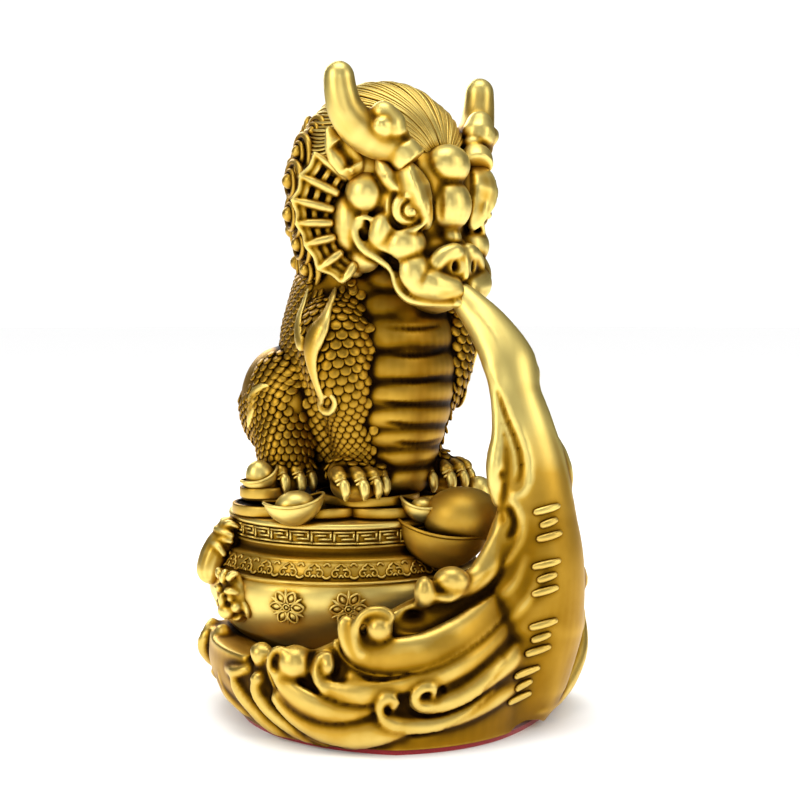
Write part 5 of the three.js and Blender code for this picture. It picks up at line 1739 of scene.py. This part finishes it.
@dataclass
class Head(BeastPart):
    """The beast's head: face, horns, ears, cheek frills and combed mane."""

    buffed: Finish
    polished: Finish
    stained: Finish
    frame: Stance = Stance(2, 3, 46)
    mane_f: float = -9.5
    mane_z: float = 149.0
    mane_rf: float = 23.5
    mane_rl: float = 26.4
    mane_rz: float = 26.6

    def skull(self) -> None:
        """Adds the soft masses of the skull, the muzzle, the jaw and the nape."""
        masses = (((-2, 0, 142), (17.3, 19, 18), 0), ((6.6, 0, 137), (9.4, 14.6, 12.5), -8), ((9, 0, 125.5),
            (10.6, 12.6, 9.6), 0), ((9, 0, 144.8), (8.9, 15, 12.2), 0), ((3, 0, 132), (10.6, 18.6, 9.6), 0),
            ((-12, 0, 142), (21, 23, 24), 0))
        for place, radii, pitch in masses:
            self.ball(1, place, radii, pitch=pitch, sides=32)
        for side in SIDES:
            self.limb(side, [(-4, 17.6, 131), (4, 16.4, 130.6), (10.4, 13.6, 130), (15, 9.6, 126.6)],
                [5, 5.4, 5.4, 5.2])
            self.limb(side, [(2, 15.6, 142.6), (8, 13.6, 142), (12.4, 9.4, 141)], [5.4, 5.8, 5])
        self.limb(1, [(-6, 0, 128), (4, 0, 118), (13, 0, 116.6), (18.6, 0, 115.6)], [14, 13, 9.5, 6.5],
            flat=0.62, face=UP, sides=32)
        self.limb(1, [(-10, 0, 140), (-13, 0, 128), (-13, 0, 116), (-12, 0, 106)], [22.6, 23, 19.4, 12.6],
            flat=0.78, face=self.frame.way(1, 0, 0), sides=40, step=3)
        self.clay.settle(voxel=0.8, rounds=6)

    def features(self) -> None:
        """Adds the forms of the face."""
        # forehead: two full lobes, one above the other
        self.ball(1, (15.2, 0, 151.6), (5.8, 6.8, 5.7))
        self.ball(1, (15.2, 0, 140.9), (6.5, 7, 7.3), pitch=4)
        # nose: bridge, broad tip, and the rim that arches over both nostrils
        self.limb(1, [(15.4, 0, 136), (16.2, 0, 132), (17.8, 0, 129)], [3.2, 3.1, 3.6])
        self.ball(1, (17.2, 0, 124.4), (5.4, 7.8, 5))
        self.ball(1, (19.4, 0, 127), (3.1, 4.4, 3.3))
        self.limb(1, [(21.2, 0, 127.4), (21.7, 0, 124), (21.4, 0, 120.4)], [1.3, 1.3, 1.1])
        for side in SIDES:
            out = self.frame.way(0, side, 0)
            self.limb(side, [(20.2, 0, 128.1), (20, 3.2, 128), (19, 6.4, 126.8), (18.2, 8.6, 124),
                (18.6, 7.6, 121.2)], [2.7, 2.6, 2.6, 2.5, 1.7])
            # upper lip: a full lobe at each side that thins towards the middle
            self.ball(side, (13.8, 11.8, 122.4), (5.3, 5.4, 6.6), pitch=20)
            self.limb(side, [(13.8, 12.2, 121.4), (16.4, 9.9, 119.8), (19, 5.4, 118.8), (20, 0, 118.6)],
                [5.6, 5.2, 3.8, 2.9])
            self.limb(side, [(13, 13, 124), (15.4, 12, 119.9), (18.2, 8.6, 118), (20.4, 4.2, 117.4),
                (21, 0, 117.4)], [3.9, 4.4, 3.8, 2.9, 2.5], flat=0.9)
            # brow: a broad leaf that sweeps down towards the nose, with the smaller leaf behind it
            self.limb(side, [(12, 13, 152.2), (13.4, 13.9, 148.4), (14.4, 13.2, 144.6), (15, 11.8, 140.8),
                (15.6, 10.2, 137.4), (16, 8.6, 134.0)], [2.2, 4.3, 5.2, 4.7, 3.2, 1.2], flat=0.62, keel=0.9,
                face=self.frame.way(1, side * 0.7, 0.1))
            self.limb(side, [(7.3, 19.4, 153.6), (8.5, 18.6, 150.3), (10.1, 17.6, 147.2),
                (12.5, 16.5, 144.6), (14.6, 15, 142.4)], [0.6, 2.5, 3, 2.4, 1.3], flat=0.7, face=out)
            # eye: ball, and the lids that run above and below it
            self.ball(side, (11.5, 13.4, 139.8), (6, 5.8, 5.9))
            self.limb(side, [(8.2, 17.6, 136.6), (11.6, 17, 134), (14.8, 15, 133.6), (16.9, 12.5, 135),
                (17.8, 10.6, 137)], [0.6, 0.9, 0.9, 0.8, 0.6])
            # temple ball, cheeks and jaw ball
            self.ball(side, (2.8, 18.6, 143.8), 6.0)
            self.ball(side, (-2.2, 20.6, 136), (5.6, 4.7, 8.6))
            self.ball(side, (7.4, 17.4, 133), (4.3, 3.9, 6.3), pitch=-14)
            self.ball(side, (11.8, 12.9, 130), (5.2, 6.2, 5.6))
            self.ball(side, (0.6, 17.4, 127), (4.8, 4.4, 4.6))
            self.limb(side, [(1, 17.6, 131), (-2, 19, 127), (-2.4, 17.4, 121)], [2.4, 3.2, 2.4])
            # the thin lip that runs from the mouth's corner to the chin
            self.limb(side, [(6.6, 20, 136.6), (4.6, 21.4, 137.4), (2.4, 22.2, 135.8), (2.4, 22.3, 132.4),
                (4, 21.2, 129), (7.8, 19.2, 126.2), (10.8, 17, 123.2), (12, 16.2, 118.6),
                (14.6, 14.2, 115.4), (18, 9.4, 114.4), (21.2, 3.4, 114.2)],
                [0.6, 1.1, 1.3, 1.3, 1.2, 1.1, 1.2, 1.3, 1.3, 1.2, 1.2])
        self.limb(1, [(20.6, -5, 114.6), (21.6, 0, 114.2), (20.6, 5, 114.6)], [2.2, 2.6, 2.2], flat=0.7)
        self.clay.settle(voxel=0.46, rounds=5)

    def carve(self, skin: Skin) -> None:
        """Cuts the nostrils, the mouth and the folds, and draws the crests.

        Args:
            skin: The settled head.
        """
        basis = self.frame.basis
        for side in SIDES:
            skin.dent(self.frame(21.4, 3.3 * side, 124.2), (2.2, 1.2, 1.4), 3, basis,
                self.frame.way(-1, 0, 0.1))
            skin.dent(self.frame(3.4, 20.6 * side, 134.2), (1.6, 2.6, 2.8), 3, basis,
                self.frame.way(0.4, -side, 0))
            mouth = self.run(side, (3.2, 21.4, 134.6), (4.8, 20.6, 131.4), (7.8, 19, 128.6),
                (11.2, 17, 125.4), (12.6, 16, 121.4), (14, 14.8, 118), (16.6, 11.8, 116), (19.8, 7, 115.8),
                (21.6, 2.4, 116))
            skin.stroke(mouth, -2.6, 1.1, fade=0.05)
            skin.stroke(self.run(side, (11, 19.6, 149), (12.4, 18.8, 146.6), (14.4, 17.4, 144.4)), 0.8, 0.6,
                1.8, sharp=True)
            skin.stroke(self.run(side, (9.4, 18.6, 137.6), (10.2, 18.2, 133), (11.4, 17, 128.6),
                (13, 15.2, 126.6), (16, 12.6, 126.8)), -1, 1.1)
            skin.stroke(self.run(side, (18.2, 5.4, 148), (18.8, 6.2, 143), (18.4, 6, 137.6),
                (17.8, 5, 133)), -0.8, 1.5)
            look = self.frame.way(0.9, side * 0.4, -0.13)
            across = self.frame.way(-0.4, side * 0.9, 0)
            middle = self.frame(11.5, 13.4 * side, 139.6)
            ring = [middle + look * 5.2 + across * (2.6 * math.cos(t)) + UP * (2.5 * math.sin(t))
                for t in spread(-2.3, 2.3, 12)]
            skin.stroke(ring, -1.5, 0.7, fade=0.1)
            socket = [middle + look * 2.5 + across * (5.4 * math.cos(t)) + UP * (5.3 * math.sin(t))
                for t in spread(-2.6, 2.2, 16)]
            skin.stroke(socket, -1.2, 0.9, fade=0.15)
            lid = [middle + look * 5.8 + across * a + UP * b for a, b in ((-5, -0.6), (-3.6, 3), (0, 4.2),
                (4, 2.6), (6, -1))]
            skin.stroke(lid, 0.7, 0.9, fade=0.2)
        skin.stroke(self.run(1, (20, -4.4, 146.9), (21.4, 0, 146.7), (20, 4.4, 146.9)), -0.5, 1.2)

    def beads(self) -> None:
        """Adds the pupils."""
        for side in SIDES:
            self.clay.ball(self.frame(16.2, 15.3 * side, 138.6), 1.3, sides=20)

    def horns(self) -> None:
        """Adds the horns: a collar, a thick curved beam, and lumps where it forks."""
        for side in SIDES:
            self.limb(side, [(14.3, 13.1, 151.6), (12.9, 14.2, 153.6), (11.7, 15.2, 155.2)],
                [4.7, 4.8, 4.6], sides=32, blunt=True, step=0.8)
            self.limb(side, [(13.2, 14, 153.4), (11, 16, 155.4), (7.8, 19.2, 157.6), (4.6, 23, 160.8),
                (2.8, 26.2, 165.2), (2.2, 27.6, 170), (2, 28.1, 174.6), (2, 28.4, 178.3)],
                [4.0, 4.6, 5.5, 5.6, 5.1, 4.6, 4.2, 4.0], sides=24)
            self.limb(side, [(10, 16.6, 157.2), (10.6, 17.6, 160.6), (9.6, 19.4, 164.4),
                (8.4, 21.2, 167.2)], [4.6, 5.2, 3.9, 2.9])
            self.limb(side, [(10.6, 18.6, 159.4), (11.4, 21.4, 160.8), (12.4, 24, 162.4)], [3.8, 3, 1.9])
            self.limb(side, [(11.6, 14.8, 156), (11.2, 15, 158.6), (10.4, 15.4, 161)], [3.4, 3.2, 2.2])
        self.clay.settle(voxel=0.42, rounds=16)

    def ears(self) -> None:
        """Adds the leaf-shaped ears with their inner folds."""
        for side in SIDES:
            out = self.frame.way(0.75, side * 0.7, 0)
            self.limb(side, [(1.6, 21, 146.6), (1.6, 22.8, 150), (0.4, 24.4, 153.4), (-1.1, 26, 157),
                (-3.2, 27.6, 161.4)], [1.2, 4, 4.7, 3.4, 0.5], flat=0.46, face=out, sides=24)
        self.clay.settle(voxel=0.3, rounds=2)

    def carve_ears(self, skin: Skin) -> None:
        """Hollows the ears and raises their rims and folds.

        Args:
            skin: The settled ears.
        """
        for side in SIDES:
            skin.stroke(self.run(side, (2.8, 23.9, 150.8), (2.3, 24.6, 152.4), (1.3, 25.7, 154.6),
                (-0.3, 26.9, 157.4)), -1.9, 2.6, fade=0.12)
            skin.stroke(self.run(side, (3, 23.6, 148.4), (2.2, 25.2, 151.6), (1, 26, 154.6)), 1.6, 0.8,
                sharp=True)

    def frills(self) -> None:
        """Adds the cheek frills: ribs that fan out behind the jaw, webs and cross bars between them."""
        tips = [(-6.4, 29.8, 154.7), (-9.2, 32.6, 148.7), (-10.8, 34.1, 142.2), (-10.1, 33.3, 135.8),
            (-8.3, 31.7, 130), (-5.7, 29.1, 123.3), (-1, 24.6, 119.6)]
        roots = [(-0.6, 21.8, 147.4), (-2.6, 23.4, 143.4), (-3.6, 24.2, 139.2), (-3.8, 24.4, 135.8),
            (-3.4, 24, 132.2), (-2.2, 22.8, 128.4), (0.2, 20.6, 125.4)]
        for side in SIDES:
            ends = [(Vector(self.frame(*root[:1], root[1] * side, root[2])), Vector(self.frame(tip[0],
                tip[1] * side, tip[2]))) for root, tip in zip(roots, tips)]
            front = self.frame.way(0.85, side * 0.5, 0)
            for root, tip in ends:
                bow = root.lerp(tip, 0.5) + front * 0.5
                self.clay.limb([root, bow, tip], [1.3, 1.5, 1.3, 0.45], flat=1.3, face=front, sides=14,
                    step=0.7)
            for (root, tip), (next_root, next_tip) in zip(ends, ends[1:]):
                for share, thick in ((0.24, 0.95), (0.5, 0.95), (0.75, 0.95), (0.93, 0.75)):
                    a, b = root.lerp(tip, share), next_root.lerp(next_tip, share)
                    inwards = (root - tip).normalized() * (0.8 if share > 0.9 else 0.3)
                    self.clay.limb([a, a.lerp(b, 0.5) + inwards, b], [thick, thick], sides=10, step=0.7)
                a, b = root.lerp(next_root, 0.5) - front * 2, tip.lerp(next_tip, 0.5) - front * 2
                near, far = (root - next_root).length / 2, (tip - next_tip).length / 2
                self.clay.limb([a, a.lerp(b, 0.45), a.lerp(b, 0.88)],
                    [near * 1.1, near * 0.55 + far * 0.55, far * 0.85], flat=0.2, face=front, sides=20,
                    step=0.8, blunt=True)
        self.clay.settle(voxel=0.34, rounds=2)

    def on_mane(self, turn: float, z: float) -> Vector:
        """Finds a point on the mane's dome in the head's frame.

        Args:
            turn: The angle from the front, in radians, over the left.
            z: Its height.

        Returns:
            The point, as forwards, left and up.
        """
        up = min(max((z - self.mane_z) / self.mane_rz, -1.0), 1.0)
        squeeze = math.sqrt(max(0.72 if z < self.mane_z else 0, 1 - up * up))
        return Vector((self.mane_f + math.cos(turn) * (self.mane_rf * squeeze),
            math.sin(turn) * (self.mane_rl * squeeze), z))

    def strands(self) -> None:
        """Combs the mane: strands that rise from the brow, part over the crown and fall behind."""
        dome = Clay()
        dome.ball(self.frame(self.mane_f, 0, self.mane_z), [r * 0.962
            for r in (self.mane_rf, self.mane_rl, self.mane_rz)], self.frame.basis, sides=48)
        for vert in dome.bm.verts:
            vert.co.z = max(vert.co.z, self.mane_z + 0.15 * (vert.co.z - self.mane_z))
        self.clay.take(dome.bm)
        rng = random.Random(7)
        count = 62
        for k in range(count):
            share = blend(-1, 1, k / (count - 1))
            lean = share * 1.36
            radius = 0.985 + rng.uniform(-0.012, 0.01)
            thick = rng.uniform(0.5, 0.64)
            marks = []
            for t in spread(0.1, 2.85, 22):
                polar = Vector((math.cos(t), math.sin(t) * math.sin(lean) * (0.55 + 0.45 * math.sin(t)), 0))
                polar.z = math.sqrt(max(0.02, 1 - min(0.98, polar.x**2 + polar.y**2)))
                polar.normalize()
                wave = 1 + 0.01 * math.sin(6 * t + 5 * share)
                marks.append(self.frame(self.mane_f + polar.x * self.mane_rf * radius * wave,
                    polar.y * self.mane_rl * radius * wave, self.mane_z
                    + polar.z * self.mane_rz * radius * wave))
            self.clay.limb(marks, [thick * r for r in (0.5, 0.75, 0.85, 0.85, 0.8, 0.5)], sides=8, step=2.1)

    def curls(self) -> None:
        """Adds the curls below the combed hair: a ball in a spiral of strands for each."""
        edge = [(-14.7, 21.2, 161, 2.8), (-17.7, 24, 155.6, 3.2), (-19.4, 25.7, 147.6, 3.7),
            (-19.4, 25.7, 138.6, 3.7), (-17.8, 24.1, 130.4, 3.4), (-16.2, 22.6, 123.4, 3.2)]
        places = [(Vector((f, l * side, z)), r, side) for f, l, z, r in edge for side in SIDES]
        for turns, z, r in (((146, 169), 161.5, 3), ((139, 159, 180), 153, 3.5), ((137, 158, 180), 144,
                3.8), ((137, 158, 180), 134.5, 3.8), ((132, 156, 180), 125.4, 3.7), ((130, 155, 180), 116.6,
                3.4)):
            for turn in turns:
                for side in SIDES if turn < 180 else (1,):
                    spot = self.on_mane(math.radians(turn), z)
                    if z < 140:
                        wide = float(np.interp(z, (106, 116, 128, 136), (14, 20, 23.8, 25)))
                        spot = Vector((-13 + 0.82 * wide * math.cos(math.radians(turn)),
                            wide * math.sin(math.radians(turn)), z))
                    places.append((Vector((spot.x, spot.y * side, z)), r, side))
        for spot, r, side in places:
            out = self.frame.way((spot.x - self.mane_f) / self.mane_rf, spot.y / self.mane_rl,
                0.02 * (spot.z - self.mane_z) / 13)
            base = seat(self.frame(*spot), out, UP)
            self.clay.ball(base @ Vector((0, 0, 0.5)), r * 0.6, sides=18)
            spiral = [base @ Vector((side * math.cos(t) * r * (0.62 + 0.1 * t),
                math.sin(t) * r * (0.62 + 0.1 * t), 1.0 - 0.2 * t)) for t in spread(0, 11.4, 36)]
            self.clay.limb(spiral, [0.5, 0.8, 0.95, 0.95, 0.6], sides=8, step=0.9)

    def build(self) -> list[Shape]:
        """Models the head and dresses it.

        Returns:
            The pieces.
        """
        return [
            self.piece("head", self.buffed, self.skull, self.features, carve=self.carve),
            self.piece("horns", self.buffed, self.horns),
            self.piece("ears", self.buffed, self.ears, carve=self.carve_ears),
            self.piece("cheek_frills", self.polished, self.frills),
            self.piece("mane_strands", self.polished, self.strands),
            self.piece("mane_curls", self.stained, self.curls),
            self.piece("eye_beads", self.buffed, self.beads),
        ]


@dataclass
class FeltPad:
    """The red felt glued under the casting, cut a little inside its edge."""

    finish: Finish
    water: WaterBank
    thick: float = 1.2
    inset: float = 1.2

    def build(self) -> Shape:
        """Returns:
            The pad.
        """
        bm = bmesh.new()
        edge = [self.water.at(t, 1.5, -self.inset) for t in spread(0, 2 * math.pi, 161)[:-1]]
        rim = [bm.verts.new((p.x, p.y, 0)) for p in edge]
        base = bm.faces.new(rim)
        area = base.calc_area()
        wide, long = (max(p[k] for p in edge) - min(p[k] for p in edge) for k in (0, 1))
        top = bmesh.ops.extrude_face_region(bm, geom=[base])["geom"]
        bmesh.ops.translate(bm, verts=[v for v in top if isinstance(v, bmesh.types.BMVert)],
            vec=(0, 0, self.thick))
        bmesh.ops.recalc_face_normals(bm, faces=bm.faces)
        mesh = bpy.data.meshes.new("felt")
        bm.to_mesh(mesh)
        bm.free()
        pad = present(mesh, self.finish, Slot.FELT)
        pad.data.shade_flat()
        LOG.info("felt cut %.1f by %.1f mm, area %.0f square mm", wide, long, area)
        return pad


# The studio


@dataclass
class Studio:
    """The camera, the pale floor and the soft lights."""

    distance: float = 0.450
    eye: float = 0.124
    aim: float = 0.0871
    middle: float = 0.09
    sensor: float = 36.0
    focal: float = 1618 / 800 * 36

    DIM = (0.035, 0.033, 0.03, 1)
    BRIGHT = (0.34, 0.34, 0.34, 1)

    def camera(self) -> None:
        """Stands the camera where the photograph was taken from."""
        lens = bpy.data.cameras.new("camera")
        lens.lens = self.focal
        lens.sensor_width = self.sensor
        lens.clip_start = 0.01
        shape = bpy.data.objects.new("camera", lens)
        shape.location = (0, -self.distance, self.eye)
        self.point(shape, self.aim)
        bpy.context.scene.camera = shape

    def point(self, shape: Shape, height: float) -> None:
        """Turns a lamp or the camera to a height above the origin, and puts it in the scene.

        Args:
            shape: The lamp or the camera.
            height: The height that it looks at.
        """
        way = Vector((0, 0, height)) - shape.location
        shape.rotation_euler = way.to_track_quat("-Z", "Y").to_euler()
        bpy.context.scene.collection.objects.link(shape)

    def light(self, name: str, place: Point, size: Point, power: float, tint: str) -> None:
        """Hangs a soft box that faces the figurine.

        Args:
            name: Its name.
            place: Where it hangs.
            size: Its width and height.
            power: Its watts.
            tint: Its colour.
        """
        box = bpy.data.lights.new(name, "AREA")
        box.shape = "RECTANGLE"
        box.size, box.size_y = size
        box.energy = power
        box.color = linear(tint)[:3]
        shape = bpy.data.objects.new(name, box)
        shape.location = place
        self.point(shape, self.middle)

    def floor(self) -> None:
        """Lays a pale matt disc to stand on."""
        bm = bmesh.new()
        bmesh.ops.create_circle(bm, cap_ends=True, radius=3, segments=64)
        mesh = bpy.data.meshes.new("studio_floor")
        bm.to_mesh(mesh)
        bm.free()
        # uncoated white card: no gloss, so the figurine's shadow stays soft
        book = NodeBook(bpy.data.materials.new("matt-white-card"))
        card = {"Base Color": linear("#f4f4f4"), "Roughness": 0.9, "Specular IOR Level": 0.1}
        mesh.materials.append(book.finish(book.add("ShaderNodeBsdfPrincipled", card)))
        disc = bpy.data.objects.new("studio_floor", mesh)
        bpy.context.scene.collection.objects.link(disc)

    def surround(self) -> None:
        """Makes the room: white to the camera, and dim with a bright upper half in reflections."""
        book = NodeBook(bpy.data.worlds.new("soft-studio"), "ShaderNodeOutputWorld")
        way = book.add("ShaderNodeTexCoord").outputs["Generated"]
        height = book.add("ShaderNodeSeparateXYZ", {0: way}).outputs["Z"]
        glow = book.add("ShaderNodeValToRGB", {0: height})
        for end, place, level in zip(glow.color_ramp.elements, (0.35, 0.95), (self.DIM, self.BRIGHT)):
            end.position = place
            end.color = level
        dim = book.add("ShaderNodeBackground", {"Color": glow.outputs[0]})
        white = book.add("ShaderNodeBackground", {"Color": (1, 1, 1, 1), "Strength": 1.12})
        glossy = book.add("ShaderNodeLightPath").outputs["Is Glossy Ray"]
        mix = book.add("ShaderNodeMixShader", {0: glossy, 1: white.outputs[0], 2: dim.outputs[0]})
        bpy.context.scene.world = book.finish(mix)

    def build(self) -> None:
        """Sets everything up."""
        self.camera()
        self.floor()
        self.surround()
        self.light("left_box", (-0.55, -0.45, 0.42), (0.30, 0.50), 2.3, "#fffaf0")
        self.light("right_box", (0.62, -0.30, 0.35), (0.22, 0.50), 1.3, "#fffaf0")
        self.light("top_box", (0.0, -0.10, 0.80), (0.50, 0.40), 2.3, "#ffffff")
        self.light("front_fill", (0.05, -0.95, 0.30), (0.35, 0.35), 0.9, "#ffffff")
        self.light("back_rim", (-0.25, 0.60, 0.45), (0.4, 0.4), 2.2, "#ffffff")
        bpy.context.scene.view_settings.view_transform = "Standard"


def finishes() -> list[Finish]:
    """Makes the materials.

    Returns:
        Polished, buffed, sand-grained, satin, rubbed-back and stained brass, and the felt.
    """
    brasses = (
        # cast brass, stained and then polished by hand: bright ridges over brown hollows
        PatinatedBrass("polished-cast-brass"),
        # cast brass, buffed on a wheel: full round highlights that fade softly into the stain
        PatinatedBrass("buffed-cast-brass", bias=0.1, contrast=0.42),
        # cast brass with the skin of its sand mould: fine dull pits, and painted light that leaves it
        # darker and rougher low down, lighter high up
        PatinatedBrass("sand-grained-cast-brass", grain=0.3, bias=-0.11, painted_light_up=0.34, reach_mm=1.8),
        # cast brass, rubbed with fine wool: a broad soft sheen without a sharp glint
        PatinatedBrass("satin-cast-brass", bias=-0.22, rough_high=0.5),
        # cast brass, stained nearly black and rubbed back: only the tips of the relief shine
        PatinatedBrass("rubbed-back-cast-brass", bias=-0.44, contrast=0.5, rough_high=0.36),
        # cast brass under its full stain: dull brown with a thin line of gold on each edge
        PatinatedBrass("stained-cast-brass", bias=-0.3, contrast=0.5),
    )
    return [brass.make() for brass in brasses] + [PressedFelt().make()]


def main() -> None:
    """Builds the figurine piece by piece."""
    logging.basicConfig(level=logging.INFO, format="%(message)s", stream=sys.stdout)
    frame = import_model()
    Studio().build()
    polished, buffed, water, satin, rubbed, stained, felt = finishes()
    bank = WaterBank(water)
    pieces = bank.build()
    pieces += TreasureBasin(polished).build()
    pieces += Treasure(polished, satin, stained).build()
    pieces += Body(polished, stained, rubbed).build()
    pieces += Head(buffed, polished, stained).build()
    for piece in pieces:
        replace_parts(piece, "figurine")
    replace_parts(FeltPad(felt, bank).build(), "felt_pad")
    LOG.info("stands in for %s", sorted(frame["nodes"]))


if __name__ == "__main__":
    main()
